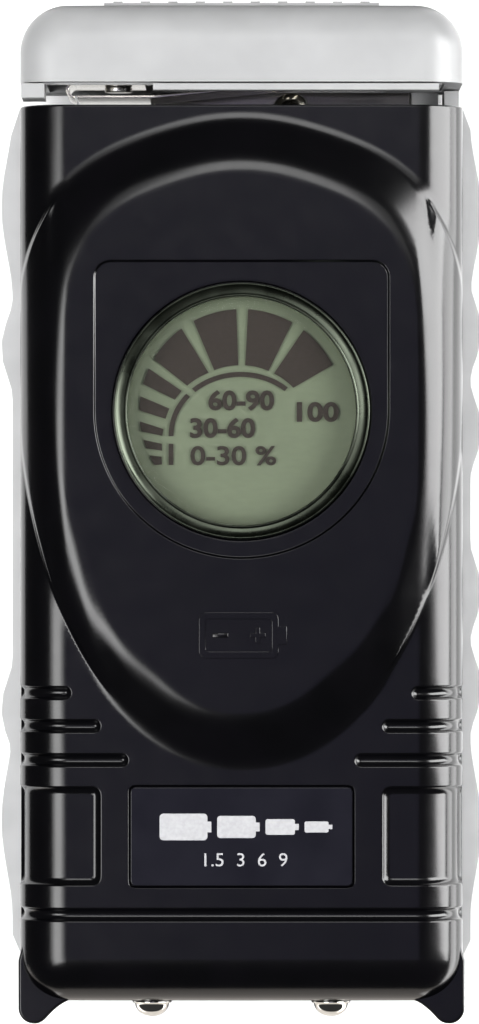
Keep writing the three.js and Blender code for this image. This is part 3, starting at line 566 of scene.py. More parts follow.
def skin_boundary(top):
    """The unrolled skin's edge: down the right flank, round the lower end, up the left flank, then across."""
    right = [(FLANK_END, y) for y in np.arange(top, CORE_Y, -1.0)]
    corner = []
    for t in np.linspace(0, math.pi / 2, 22):
        ex, ey = math.cos(t), math.sin(t)
        radius = math.hypot(SIDE_ROUND * ex, END_ROUND * ey)
        s = radius * math.pi / 2 + FLANK - radius
        corner.append((CORE_X + s * ex, CORE_Y - s * ey))
    end = [(x, corner[-1][1]) for x in np.arange(CORE_X - 1.2, -CORE_X + 0.6, -1.2)]
    lower = right + corner + end + [(-x, y) for x, y in reversed(right + corner)]
    across = set(np.arange(-CORE_X, CORE_X + 0.1, 1.01))
    across |= {side * (CORE_X + SIDE_ROUND * math.radians(a)) for side in (-1, 1) for a in range(8, 91, 9)}
    across |= {side * (FLANK_END - 2.5) for side in (-1, 1)}
    return lower, [(x, top) for x in sorted(across)]


def inset_outline(grow):
    """Outline of the shallow step round the display, moved outwards by grow."""
    cx, cy = DISPLAY_CENTRE
    half, r = INSET["half"] + grow, max(0.15, INSET["corner"] + grow)
    return (arc(cx, cy, half, 180, 360, 60) + arc(half - r, INSET["top"] + grow - r, r, 0, 90, 8)
            + arc(r - half, INSET["top"] + grow - r, r, 90, 180, 8))


def unrolled_x(x):
    """Where a point at x in plan lies on the unrolled skin."""
    over = max(0.0, abs(x) - CORE_X) / SIDE_ROUND
    return math.copysign(CORE_X + SIDE_ROUND * math.asin(min(1, over)), x) if over > 0 else x


def field_contour(inset):
    """Points on the field's wall, each found from the middle outwards at one distance inside the foot."""
    count = 720 if abs(inset - 0.25) < 0.4 else 360
    turns = np.linspace(0, 2 * math.pi, count, endpoint=False)
    low, high = np.full(count, 2.0), np.full(count, 60.0)
    for _ in range(40):
        middle = (low + high) / 2
        x, y = middle * np.cos(turns), FIELD["widest"] + middle * np.sin(turns)
        deep = field_inside(x, y) > inset
        low, high = np.where(deep, middle, low), np.where(deep, high, middle)
    x, y = low * np.cos(turns), FIELD["widest"] + low * np.sin(turns)
    return [(unrolled_x(px), py) for px, py in zip(x, y) if abs(px) < HALF - 0.02]


def skin_mesh(points, loops, chains, outside, hole):
    """Triangulates unrolled points along loops and chains, and drops what is outside or in the hole."""
    edges = []
    for first, count in loops:
        edges += [(first + i, first + (i + 1) % count) for i in range(count)]
    for first, count in chains:
        edges += [(first + i, first + i + 1) for i in range(count - 1)]
    verts, _, faces, origins, *_ = delaunay_2d_cdt([Vector(p) for p in points], edges, [], 0, 1e-6, True)
    flat = np.array([(v.x, v.y) for v in verts])
    place = {origin: i for i, all_origins in enumerate(origins) for origin in all_origins}
    faces = np.array(faces, int)
    middle = flat[faces].mean(1)
    keep = ~outside(middle[:, 0], middle[:, 1]) & ~hole(middle[:, 0], middle[:, 1])
    faces = faces[keep]
    a, b, c = flat[faces[:, 0]], flat[faces[:, 1]], flat[faces[:, 2]]
    area = (b[:, 0] - a[:, 0]) * (c[:, 1] - a[:, 1]) - (b[:, 1] - a[:, 1]) * (c[:, 0] - a[:, 0])
    faces = np.where(area[:, None] < 0, faces[:, ::-1], faces)[np.abs(area) > 1e-9]
    return flat, faces, place


def outside_skin(p, q):
    """Whether unrolled points lie past the seam on the flanks or at the lower end."""
    side = np.maximum(np.abs(p) - CORE_X, 0)
    below = np.maximum(CORE_Y - q, 0)
    s = np.hypot(side, below)
    safe = np.maximum(s, 1e-9)
    radius = np.hypot(SIDE_ROUND * side / safe, END_ROUND * below / safe)
    return s > radius * math.pi / 2 + FLANK - radius - 1e-3


def thinned(candidates, kept, gap):
    """The candidates that lie further than their gap from every kept point."""
    tree = kdtree.KDTree(len(kept))
    for i, (x, y) in enumerate(kept):
        tree.insert((x, y, 0), i)
    tree.balance()
    return [c for c in candidates if tree.find((c[0], c[1], 0))[2] > gap]


def zipped(first, second, verts):
    """Triangles between two open chains of vertices that run side by side."""
    reach = []
    for chain in (first, second):
        at = np.array([verts[i] for i in chain])
        lengths = np.concatenate([[0], np.cumsum(np.linalg.norm(np.diff(at, axis=0), axis=1))])
        reach.append(lengths / lengths[-1])
    i = j = 0
    triangles = []
    while i < len(first) - 1 or j < len(second) - 1:
        if j == len(second) - 1 or (i < len(first) - 1 and reach[0][i + 1] <= reach[1][j + 1]):
            triangles.append((first[i + 1], first[i], second[j]))
            i += 1
        else:
            triangles.append((first[i], second[j], second[j + 1]))
            j += 1
    return triangles


WINDOW_SIDES = 160
FLANGE = 1.5  # how much wider the opening is inside, where the lens's flange sits
FIELD_INSETS = (-0.8, -0.5, -0.25, -0.1, 0.0, 0.1, 0.2, 0.3, 0.4, 0.5, 0.6, 0.8, 1.1, 1.6, 2.1, 2.6, 3.1,
                3.5, 3.9, 4.3, 4.7, 5.1, 5.5, 5.9, 6.3, 6.6)


def window_loop(grow):
    """Points round the display's opening, moved outwards by grow."""
    return arc(*DISPLAY_CENTRE, WINDOW + grow, 0, 360, WINDOW_SIDES)[:-1]


def in_window(p, q, grow):
    """Whether unrolled points lie in the opening's polygon."""
    reach = (WINDOW + grow) * math.cos(math.pi / WINDOW_SIDES) - 0.001
    return np.hypot(p - DISPLAY_CENTRE[0], q - DISPLAY_CENTRE[1]) < reach


def feature_loops():
    """Closed loops beside every edge that is sunk into the skin, each with the spacing of its points."""
    for grow in (0.08, 0.15, FUNNEL_WIDTH, 0.5):
        yield window_loop(grow), 0.56
    for grow in (0.0, -0.08, -0.16, -0.25, -0.34):
        yield inset_outline(grow), 0.7
    for grow in GROOVE_STEPS:
        half, end = GROOVE_HALF + grow, GROOVE_END + grow
        for height, inner in GRIPS:
            loop = rounded_rectangle(inner - grow, end, height - half, height + half, half - 0.001, 8)
            for side in (-1, 1):
                yield [(side * x, y) for x, y in loop], 0.30
        yield rounded_rectangle(-end, end, CROSS_GROOVE - half, CROSS_GROOVE + half, half - 0.001, 6), 0.5
    for grow in PANEL_STEPS:
        loop = rounded_rectangle(PANEL["inner"] - grow, GROOVE_END + grow, PANEL["low"] - grow,
                                 PANEL["high"] + grow, PANEL["corner"] + grow, 8)
        for side in (-1, 1):
            yield [(side * x, y) for x, y in loop], 0.5
    for grow in (0.05, -0.04, -0.1, -0.16, -0.25):
        half, low, high = NAME["half"] + grow, NAME["low"] - grow, NAME["high"] + grow
        yield rounded_rectangle(-half, half, low, high, NAME["corner"] + grow, 6), 0.5


def mirrored(values):
    """Each value's negative and the value, with 0 once."""
    return [side * v for v in values for side in ((-1, 1) if v else (1,))]


def skin_grid():
    """Points over the unrolled skin, in rows and columns on the face and in fans round the lower corners."""
    grid = []
    arcs = [CORE_X + SIDE_ROUND * math.radians(a) for a in range(0, 91, 6)]
    columns = list(np.arange(0, CORE_X - 0.5, 1.6)) + arcs + [arcs[-1] + 1.2, arcs[-1] + 2.6, arcs[-1] + 3.9]
    for y in np.arange(TOP - 0.9, CORE_Y, -0.9):
        grid += [(x, y) for x in mirrored(columns)]
    turned = [END_ROUND * math.radians(a) for a in range(0, 91, 6)]
    turned += [END_ROUND * math.pi / 2 + 1.3, END_ROUND * math.pi / 2 + 2.7]
    for x in mirrored([v for v in columns if v <= CORE_X]):
        grid += [(x, CORE_Y - s) for s in turned]
    for t in np.linspace(0, math.pi / 2, 19)[1:-1]:
        ex, ey = math.cos(t), math.sin(t)
        radius = math.hypot(SIDE_ROUND * ex, END_ROUND * ey)
        turned = [radius * math.radians(a) for a in range(6, 91, 6)]
        for s in turned + [radius * math.pi / 2 + 1.3, radius * math.pi / 2 + 2.6]:
            grid += [(side * (CORE_X + s * ex), CORE_Y - s * ey) for side in (-1, 1)]
    return grid


def outer_skin():
    """Vertices, normals and triangles of the detailed skin, with its edge and its opening as loops."""
    lower, across = skin_boundary(TOP)
    points = [tuple(p) for p in lower + across]
    loops = [(0, len(points))]
    window_first = len(points)
    loops.append((window_first, WINDOW_SIDES))
    points += window_loop(0)
    for loop, spacing in feature_loops():
        ring = resample(loop, spacing)
        loops.append((len(points), len(ring)))
        points.extend(map(tuple, ring))
    chains = []
    for back in (0.04, 0.09, 0.14, END_EDGE, 0.3):
        chains.append((len(points), len(across)))
        points.extend((x, TOP - back) for x, _ in across)
    slope = []
    for inset in FIELD_INSETS:
        slope += field_contour(inset)
    slope = thinned(slope, points, 0.3)
    points += slope
    cx, cy = DISPLAY_CENTRE
    grid = [g for g in skin_grid() if math.hypot(g[0] - cx, g[1] - cy) > WINDOW + 0.3]
    grid = [g for g in grid if not outside_skin(np.array([g[0]]) * 1.005, np.array([g[1]]))[0]]
    points += thinned(grid, points, 0.28)
    flat, faces, place = skin_mesh(points, loops, chains, outside_skin, lambda p, q: in_window(p, q, 0))
    edge = [place[i] for i in range(window_first)]
    window = [place[window_first + i] for i in range(WINDOW_SIDES)]
    return skin(flat[:, 0], flat[:, 1]), skin_normals(flat[:, 0], flat[:, 1]), faces, edge, window


def inner_skin():
    """The plainer skin one wall below: the same field, and a larger opening for the lens's flange."""
    lower, across = skin_boundary(TOP - WALL)
    points = [tuple(p) for p in lower + across]
    boundary_count = len(points)
    points += window_loop(FLANGE)
    cx, cy = DISPLAY_CENTRE
    columns, rows = np.arange(-CORE_X - 6, CORE_X + 6.1, 2.0), np.arange(-54.5, TOP - WALL - 1, 2.0)
    grid = [(x, y) for x in columns for y in rows]
    grid = [g for g in grid if math.hypot(g[0] - cx, g[1] - cy) > WINDOW + 2.2
            and not outside_skin(np.array([g[0] * 1.03]), np.array([g[1] - 0.5]))[0]]
    points += thinned(grid, points, 0.8)
    loops = [(0, boundary_count), (boundary_count, WINDOW_SIDES)]
    flat, faces, place = skin_mesh(points, loops, [], outside_skin, lambda p, q: in_window(p, q, FLANGE))
    verts = skin(flat[:, 0], flat[:, 1], WALL, False)
    verts[:, 1] = np.minimum(verts[:, 1], TOP - WALL)
    edge = [place[i] for i in range(boundary_count)]
    window = [place[boundary_count + i] for i in range(WINDOW_SIDES)]
    verts[edge[:len(lower)], 2] = SEAM
    return verts, faces, edge, window, len(lower)


def front_shell():
    """Both skins, joined by an end wall, a rim along the seam and the wall of the display's opening."""
    outer, outer_normals, faces, outer_edge, outer_window = outer_skin()
    inner, inner_faces, inner_edge, inner_window, rim_count = inner_skin()
    shift = len(outer)
    inner_edge, inner_window = [[i + shift for i in loop] for loop in (inner_edge, inner_window)]
    verts = [tuple(v) for v in outer] + [tuple(v) for v in inner]
    polygons = [tuple(f) for f in faces] + [tuple(int(i) + shift for i in reversed(f)) for f in inner_faces]
    # The inner rim's count splits both edges, so the end wall takes in the last points of the left flank's rim.
    for edge, way in ((outer_edge, 1), (inner_edge, -1)):
        wall = [edge[rim_count - 1], *edge[rim_count:], edge[0]]
        polygons.append(tuple(wall[::way]))
    outer_rim, inner_rim = outer_edge[:rim_count], inner_edge[:rim_count]
    polygons += zipped(outer_rim, inner_rim, verts)
    polygons.append((outer_rim[0], outer_rim[-1], inner_rim[-1], inner_rim[0]))
    for i in range(WINDOW_SIDES):
        j = (i + 1) % WINDOW_SIDES
        polygons.append((outer_window[j], outer_window[i], inner_window[i], inner_window[j]))

    mesh = bpy.data.meshes.new("front_shell_skin")
    mesh.from_pydata([tuple(c * MM for c in v) for v in verts], [], polygons)
    mesh.polygons.foreach_set("use_smooth", [True] * len(mesh.polygons))
    loop_normals = np.zeros((len(mesh.loops), 3))
    for polygon in mesh.polygons:
        if polygon.index < len(faces):
            for k in polygon.loop_indices:
                loop_normals[k] = outer_normals[mesh.loops[k].vertex_index]
        else:
            loop_normals[list(polygon.loop_indices)] = polygon.normal
    mesh.normals_split_custom_set([tuple(n) for n in loop_normals])
    return new_object("front_shell_skin", mesh)


HORN = dict(height=5.5, tip=1.7, inner=18.8, root=BOTTOM + 6.65)


def horn(side):
    """One of the two horns at the lower corners: straight outside, swept inside, with its edges rounded."""
    tip, inner, root = HORN["tip"], HORN["inner"], HORN["root"]
    tip_x = HALF + 0.15 - tip
    tip_y = SHELL_LOW[1] - 0.2
    start, bend, end = (inner, BOTTOM + 0.1), (inner + 1.1, BOTTOM - 0.2), (tip_x - 1.3, tip_y + 0.6)
    outline = [(tip_x + tip, root - 2.2), (HALF - 0.4, root), (inner, root), start]
    for t in np.linspace(0.12, 1, 10):
        weights = (1 - t) ** 2, 2 * t * (1 - t), t * t
        outline.append(tuple(np.dot(weights, (start, bend, end))))
    outline += arc(tip_x, tip_y + tip, tip, 232, 360, 14)
    word = "left" if side < 0 else "right"
    obj = prism(f"front_horn_{word}", [(side * x, y) for x, y in outline], SEAM, SEAM + HORN["height"])
    return soften(obj, 0.55, 4, 50)


finish_piece(front_shell(), BLACK, "body", ("front_shell",))
for side in (-1, 1):
    finish_piece(horn(side), BLACK, "body", ("front_shell",))


# ---------------- raised mark
def battery_outline(cx, cy, length, height, nub, steps=4):
    """Outline of a battery that lies on its side: a round-cornered body with its nub to the right."""
    r = height * 0.14
    right, low = cx + length / 2, cy - height / 2
    body = rounded_rectangle(cx - length / 2, right, low, cy + height / 2, r, steps)
    split = next(i for i, (x, y) in enumerate(body) if x > right - 1e-6 and y > low + r - 1e-6)
    nub_half = height * 0.2
    nub_points = [(right, cy - nub_half), (right + nub, cy - nub_half),
                  (right + nub, cy + nub_half), (right, cy + nub_half)]
    return body[:split + 1] + nub_points + body[split + 1:]


def bar(name, x0, x1, y0, y1, z0, z1):
    """A plain block between two corners, to be rounded, joined or cut with."""
    return prism(name, [(x0, y0), (x1, y0), (x1, y1), (x0, y1)], z0, z1)


def raised_mark():
    """A battery's outline with a plus and a minus, raised from the field."""
    z0, z1 = FIELD_Z - 0.3, FIELD_Z + 0.16
    cy = -13.4
    outer = prism("mark", battery_outline(-0.3, cy, 8.6, 5.0, 0.9), z0, z1)
    hollow = prism("cut", rounded_rectangle(-3.9, 3.3, cy - 1.75, cy + 1.75, 0.4, 4), z0 - 1, z1 + 1)
    boolean(outer, "DIFFERENCE", hollow)
    soften(outer, 0.1, 2, 30)
    arm, half, x = 0.85, 0.25, 1.75
    corners = [(half, arm), (half, half), (arm, half), (arm, -half), (half, -half), (half, -arm)]
    cross = corners + [(-u, v) for u, v in reversed(corners)]
    plus = prism("plus", [(x + u, cy + v) for u, v in reversed(cross)], z0, z1)
    minus = bar("minus", -3.15, -1.45, cy - half, cy + half, z0, z1)
    for obj in (plus, minus):
        soften(obj, 0.06, 2, 30)
    return joined("raised_mark", outer, minus, plus)


finish_piece(raised_mark(), BLACK, "body")


# ---------------- display
LENS_LOW, LENS_HIGH = box_mm("display_lens")
RING_LOW, RING_HIGH = box_mm("display_ring")
GLASS_LOW, GLASS_HIGH = box_mm("display_front_glass")
RING_OUT = RING_HIGH[0]
RING_IN = 12.4
CENTRE = (*DISPLAY_CENTRE, 0)

lens_top = LENS_HIGH[2]
flange_top = LENS_LOW[2] + 0.35
lens_profile = [(0, LENS_LOW[2]), (LENS_HIGH[0], LENS_LOW[2]), (LENS_HIGH[0], flange_top), (12.3, flange_top)]
lens_profile += [(12.3, lens_top - 0.35), (12.2, lens_top - 0.22), (12.0, lens_top - 0.15)]
lens_profile += [(r, lens_top - 0.15 * (r / 12.0) ** 2) for r in (10.5, 9, 7, 5, 2.5)] + [(0, lens_top)]
lens = lathe("lens_clear", lens_profile, CENTRE, sides=128)
finish_piece(lens, LENS, "body", ("display_lens",))

low_z, high_z = RING_LOW[2], RING_HIGH[2]
ring_profile = [(RING_IN, low_z), (RING_OUT, low_z), (RING_OUT, high_z - 0.6)]
ring_profile += [(WINDOW - 0.02, high_z - 0.5)] + arc(WINDOW - 0.16, high_z - 0.14, 0.14, 0, 150, 8)
ring_profile += [(WINDOW - 0.34, high_z - 0.16), (WINDOW - 0.50, high_z - 0.26), (WINDOW - 0.68, high_z - 0.34),
                 (WINDOW - 0.88, high_z - 0.40), (RING_IN + 0.36, high_z - 0.44)]
ring_profile += arc(RING_IN + 0.13, high_z - 0.42, 0.13, 60, 180, 7) + [(RING_IN, high_z - 0.9)]
finish_piece(lathe("ring_bezel", ring_profile, CENTRE, sides=160), CHROME, "body", ("display_ring",))

glass_x, glass_y0, glass_y1 = GLASS_HIGH[0], GLASS_LOW[1], GLASS_HIGH[1]
REFLECT_Z = GLASS_HIGH[2] - 0.3  # the segments float above it, so that they throw a soft shadow
cell_outline = rounded_rectangle(-glass_x, glass_x, glass_y0, glass_y1, 0.3, 3)
cell = prism("display_cell", cell_outline, GLASS_LOW[2], REFLECT_Z)
soften(cell, 0.08, 2)
finish_piece(cell, DISPLAY, "body", ("display_front_glass",))

INK_LOW, INK_HIGH = GLASS_HIGH[2] - 0.12, GLASS_HIGH[2] - 0.04
FAN_CENTRE = (-0.1, 8.3)  # the scale's inner arcs are struck from just below the middle of the display
FAN_RADIUS = 11.1  # struck from the middle of the display
ARC_REACH = (7.55, 6.6)  # the thin arcs' ellipse, across and along


def polar(centre, radius, degrees):
    turn = math.radians(degrees)
    return (centre[0] + radius * math.cos(turn), centre[1] + radius * math.sin(turn))


def segment(name, outer, inner, inner_radii):
    """A bar of the scale, from an outer arc round the display's middle to an inner arc round FAN_CENTRE."""
    outline = [polar(DISPLAY_CENTRE, FAN_RADIUS, a) for a in np.linspace(*outer, 9)]
    radii = np.linspace(*inner_radii, 9)
    outline += [polar(FAN_CENTRE, r, a) for r, a in reversed(list(zip(radii, np.linspace(*inner, 9))))]
    return prism(name, outline, INK_LOW, INK_HIGH)


def thin_arc(name, start, end, width=0.54):
    """A stroke along the ellipse inside the bars, from one angle to another."""
    turns = np.radians(np.linspace(start, end, 18))
    outline = []
    for grow, way in ((width / 2, 1), (-width / 2, -1)):
        reach = (ARC_REACH[0] + grow, ARC_REACH[1] + grow)
        outline += [(FAN_CENTRE[0] + reach[0] * math.cos(t), FAN_CENTRE[1] + reach[1] * math.sin(t))
                    for t in turns[::way]]
    return prism(name, outline, INK_LOW, INK_HIGH)


def text_mesh(name, words, cx, cy, height, low, high, bold=0.0, stretch=1.0):
    """Flat figures in the built-in font, centred on (cx, cy), with a cap height in millimetres."""
    curve = bpy.data.curves.new(name, "FONT")
    curve.body = words
    curve.align_x = "CENTER"
    curve.align_y = "CENTER"
    curve.size = height * MM / 0.70
    curve.offset = bold * MM
    curve.extrude = (high - low) / 2 * MM
    curve.resolution_u = 4
    obj = bpy.data.objects.new(name, curve)
    bpy.context.scene.collection.objects.link(obj)
    bpy.context.view_layer.update()
    mesh = bpy.data.meshes.new_from_object(obj.evaluated_get(bpy.context.evaluated_depsgraph_get()))
    bpy.data.objects.remove(obj)
    centre = Vector((cx, cy, (low + high) / 2)) * MM
    mesh.transform(Matrix.Translation(centre) @ Matrix.Diagonal((stretch, 1, 1, 1)))
    bm = bmesh.new()
    bm.from_mesh(mesh)
    bmesh.ops.remove_doubles(bm, verts=bm.verts, dist=1e-6)
    bpy.data.meshes.remove(mesh)
    return new_object(name, mesh_from_bmesh(name, bm, 40))


SCALE = [  # outer arc's limits, inner arc's limits and inner arc's radii: four wide bars, then five narrow ones
    ((149.3, 126.0), (137.2, 117.1), (7.9, 7.6)), ((118.0, 92.9), (112.1, 91.9), (7.6, 7.6)),
    ((86.3, 60.2), (86.2, 66.5), (7.6, 7.6)), ((52.6, 26.9), (61.6, 41.9), (7.6, 7.7)),
    ((164.6, 155.3), (151.7, 143.1), (8.1, 8.0)), ((179.5, 171.6), (167.8, 159.5), (8.35, 8.25)),
    ((191.4, 185.7), (180.6, 175.5), (8.5, 8.4)), ((201.3, 196.3), (191.2, 186.3), (8.7, 8.6)),
    ((211.8, 205.7), (200.5, 195.3), (9.1, 8.9))]
fan = [segment(f"seg_{i}", *limits) for i, limits in enumerate(SCALE)]
fan += [thin_arc("arc_good", 49, 132.5), thin_arc("arc_low", 139, 181)]
fan += [bar("arc_empty", -7.92, -7.40, 5.05, 7.36, INK_LOW, INK_HIGH)]
finish_piece(joined("display_segments", *fan), SEGMENT, "body")

figures = [
    text_mesh("f1", "60-90", -0.05, 11.95, 2.0, INK_LOW, INK_HIGH, 0.10, 1.08),
    text_mesh("f2", "30-60", -2.1, 8.95, 2.0, INK_LOW, INK_HIGH, 0.10, 1.08),
    text_mesh("f3", "0-30 %", -0.9, 5.95, 2.0, INK_LOW, INK_HIGH, 0.06, 1.18),
    text_mesh("f4", "100", 8.0, 10.7, 2.0, INK_LOW, INK_HIGH, 0.10, 1.2),
]
finish_piece(joined("display_figures", *figures), SEGMENT, "body")


# ---------------- name plate
PLATE_LOW, PLATE_HIGH = box_mm("name_plate")
plate_outline = rounded_rectangle(PLATE_LOW[0], PLATE_HIGH[0], PLATE_LOW[1], PLATE_HIGH[1], 0.5, 5)
plate = prism("plate_gloss", plate_outline, PLATE_LOW[2], PLATE_HIGH[2])
soften(plate, 0.05, 2)
finish_piece(plate, GLOSS, "body", ("name_plate",))
print_low, print_high = PLATE_HIGH[2] + 0.004, PLATE_HIGH[2] + 0.03
CELLS_Y, VOLTS_Y = -34.25, -37.9
cells = []
left = -8.9
for length, height in ((5.2, 2.9), (4.2, 2.4), (3.2, 1.7), (2.6, 1.2)):
    outline = battery_outline(left + length / 2, CELLS_Y, length, height, 0.42)
    cells.append(prism("cell", outline, print_low, print_high))
    left += length + 1.05
volts = text_mesh("volts", "1.5  3  6  9", 0.3, VOLTS_Y, 1.45, print_low, print_high, 0.0, 1.05)
finish_piece(joined("plate_print", *cells, volts), PRINT, "body")


# ---------------- back shell
# The back shell takes the lighter copy of the silver plastic, which is painted light for its lit sides.
refined("rear_shell", "rear_shell_moulded", SILVER_PAINTED_LIGHT, "body", 0.28, 3)
refined("rear_label", "rear_label_foil", LABEL, "body", 0.04, 2)
for i in (1, 2, 3):
    refined(f"shell_screw_{i}", f"shell_screw_{i}_headed", STEEL, "body", 0.12, 2)


# ---------------- fixed contacts
def dome_profile(radius, height):
    """A rivet with a round head on a thin flange. The wall that it stands on is at height 0."""
    dome, brim = radius * 0.86, 0.38
    profile = [(0, -2.5), (1.95, -2.5), (1.95, -1.95), (1.15, -1.95), (1.15, 0.02)]
    profile += [(radius, 0.02), (radius, 0.22), (radius - 0.1, 0.34), (dome + 0.04, brim)]
    for t in np.linspace(0.12, math.pi / 2 - 0.12, 10):
        profile.append((dome * math.cos(t), brim + (height - brim) * math.sin(t)))
    return profile + [(0, height)]


STRIP_HALF = 1.6  # half the width of the strips that the domes are riveted to


def contact(node, radius, x, z, wall, outward, riser_z, foot_z, foot_end):
    """A dome rivet through an end wall, the strip that rises behind it and the foot that lies on the board."""
    low, high = box_mm(node)
    tip = high[1] - wall if outward > 0 else wall - low[1]
    rivet = lathe("rivet", dome_profile(radius, tip), (x, wall, z), "y", 64, outward)
    left, right = x - STRIP_HALF, x + STRIP_HALF
    back, front = wall - outward * 2.8, wall - outward * 2.4
    riser = prism("riser", [(left, riser_z[0]), (right, riser_z[0]), (right, riser_z[1]), (left, riser_z[1])],
                  min(back, front), max(back, front), "y")
    foot = bar("foot", left, right, min(front, foot_end), max(front, foot_end), *foot_z)
    for strip in (riser, foot):
        soften(strip, 0.08)
    obj = joined(f"{node}_plated", rivet, riser, foot)
    return finish_piece(obj, DOME_NICKEL, "body", (node,))


BLOCK_X, BLOCK_Z = 9.8, 15.2
POLE_X, POLE_Z = 5.5, 10
for word, side in (("left", -1), ("right", 1)):
    low, high = box_mm(f"block_contact_{word}")
    contact(f"block_contact_{word}", 2.15, side * BLOCK_X, BLOCK_Z, BOTTOM, -1, (low[2], BLOCK_Z + 1.5),
            (low[2], low[2] + 0.35), high[1])
low, high = box_mm("pole_contact")
contact("pole_contact", 2.3, POLE_X, POLE_Z, TOP, 1, (8.5, 12.2), (11.85, 12.2), low[1])
refined("stem_wiper", "stem_wiper_strip", COPPER, "body", 0.05, 2)


# ---------------- head and stem
def rounded_cap(name, half, low_y, high_y, back, front, corner, front_round, back_round):
    """A block open to edge rounding on three sides: left, top and right. Its lower end stays square."""
    outline = [(-half, low_y), (half, low_y)]
    outline += arc(half - corner, high_y - corner, corner, 0, 90, 14)
    outline += arc(corner - half, high_y - corner, corner, 90, 180, 14)
    bm = bmesh.new()
    rings = [[bm.verts.new(Vector((x, y, z)) * MM) for x, y in outline] for z in (back, front)]
    count = len(outline)
    for i in range(count):
        j = (i + 1) % count
        bm.faces.new((rings[0][i], rings[0][j], rings[1][j], rings[1][i]))
    bm.faces.new(list(reversed(rings[0])))
    bm.faces.new(rings[1])
    bm.normal_update()

    def edges(ring):
        """The edges of a ring, without the one along the square end."""
        square = (low_y + 0.01) * MM
        between = [edge for edge in bm.edges if all(vert in ring for vert in edge.verts)]
        return [edge for edge in between if any(vert.co.y >= square for vert in edge.verts)]

    front_edges, back_edges = edges(set(rings[1])), edges(set(rings[0]))
    for chosen, width, segments in ((front_edges, front_round, 12), (back_edges, back_round, 6)):
        valid = [edge for edge in chosen if edge.is_valid]
        bmesh.ops.bevel(bm, geom=valid, offset=width * MM, offset_type="OFFSET", segments=segments, profile=0.5,
                        affect="EDGES", clamp_overlap=False)
    return new_object(name, mesh_from_bmesh(name, bm, 35))


COVER_LOW, COVER_HIGH = box_mm("head_cover")
COVER_WALL = 2
right, high_y, front = COVER_HIGH
low_y, back = COVER_LOW[1:]
cover = rounded_cap("head_cover_moulded", right, low_y, high_y, back, front, 5.2, 4.2, 2.0)
hollow = rounded_cap("hollow", right - COVER_WALL, low_y - COVER_WALL, high_y - COVER_WALL, back + 1.6,
                     front - COVER_WALL, 3.6, 2.4, 1.0)
boolean(cover, "DIFFERENCE", hollow)
seats = []
for i in (1, 2):
    low, high = box_mm(f"head_screw_{i}")
    middle = ((low[0] + high[0]) / 2, (low[1] + high[1]) / 2)
    seats.append(prism("seat", arc(*middle, 2.4, 0, 360, 40)[:-1], -1, COVER_LOW[2] + 1))
    seats.append(prism("way", arc(*middle, 1.4, 0, 360, 32)[:-1], -1.2, COVER_LOW[2] + 3))
boolean(cover, "DIFFERENCE", *seats)
soften(cover, 0.18, 2, 40)
finish_piece(cover, SILVER, "slider", ("head_cover",))
base = refined("head_base", "head_base_moulded", SILVER, "slider", 0.1, 2)
# The base's left shoulder is relieved, so that light shows through the gap beside the leaf.
boolean(base, "DIFFERENCE", bar("relief", -24.8, -21.25, 43, 46.42, -1, 15.5))
mend(base)
refined("head_grip_pad", "head_grip_pad_ribbed", GREY, "slider", 0.12, 3)
refined("slider_stem", "slider_stem_moulded", SILVER, "slider", 0.15, 2)
refined("stem_contact_plate", "stem_plate_rolled", NICKEL, "slider", 0.06, 2)
refined("contact_leaf_root", "leaf_root_strip", NICKEL, "slider", 0.06, 2)
refined("contact_leaf_blade", "leaf_blade_strip", NICKEL, "leaf", 0.06, 2)
refined("leaf_rivet", "leaf_rivet_turned", STEEL, "slider", 0.1, 2)
for i in (1, 2):
    refined(f"head_screw_{i}", f"head_screw_{i}_headed", STEEL, "slider", 0.12, 2)


# ---------------- inner pieces
INNER = {
    "display_rear_glass": DISPLAY,
    "display_reflector": WHITE,
    "display_frame": WHITE,
    "zebra_strip_upper": RUBBER,
    "zebra_strip_lower": RUBBER,
    "chassis": GREY,
    "main_board": BOARD,
    "board_screw_1": STEEL,
    "board_screw_2": STEEL,
    "board_screw_3": STEEL,
    "controller_chip": EPOXY,
    "load_resistor_1": RESISTOR,
    "load_resistor_2": RESISTOR,
    "capacitor": GLOSS,
    "protection_diode": EPOXY,
}
for node, material in INNER.items():
    data = NODES[node].data
    data.materials.clear()
    data.materials.append(material)


# ---------------- floor, lights, camera
def floor():
    """A plain pale sheet just below the object. The gloss of the object doesn't mirror it."""
    bm = bmesh.new()
    bmesh.ops.create_grid(bm, x_segments=1, y_segments=1, size=1.5)
    obj = new_object("floor", mesh_from_bmesh("floor", bm))
    obj.location.z = -0.2 * MM
    paint = Paint("pale_floor")
    soft = paint.noise(6, 2)
    pale = paint.ramp(soft, (0.3, (0.86, 0.86, 0.86)), (0.7, (0.89, 0.89, 0.89)))
    paint.link(pale, paint.inputs["Base Color"])
    paint.inputs["Roughness"].default_value = 0.8
    paint.inputs["Specular IOR Level"].default_value = 0.2
    obj.data.materials.append(paint.material)
    obj.visible_glossy = False


def softbox(name, at, aim, size, radiance, color=(1, 1, 1)):
    """A rectangle of light that glows evenly and that the camera doesn't see. Lengths are in metres."""
    light = bpy.data.lights.new(name, "AREA")
    light.shape = "RECTANGLE"
    light.size, light.size_y = size
    light.energy = radiance * math.pi * size[0] * size[1]
    light.color = color
    obj = bpy.data.objects.new(name, light)
    bpy.context.scene.collection.objects.link(obj)
    obj.location = at
    obj.rotation_euler = (Vector(aim) - Vector(at)).to_track_quat("-Z", "Y").to_euler()
    obj.visible_camera = False
    return obj


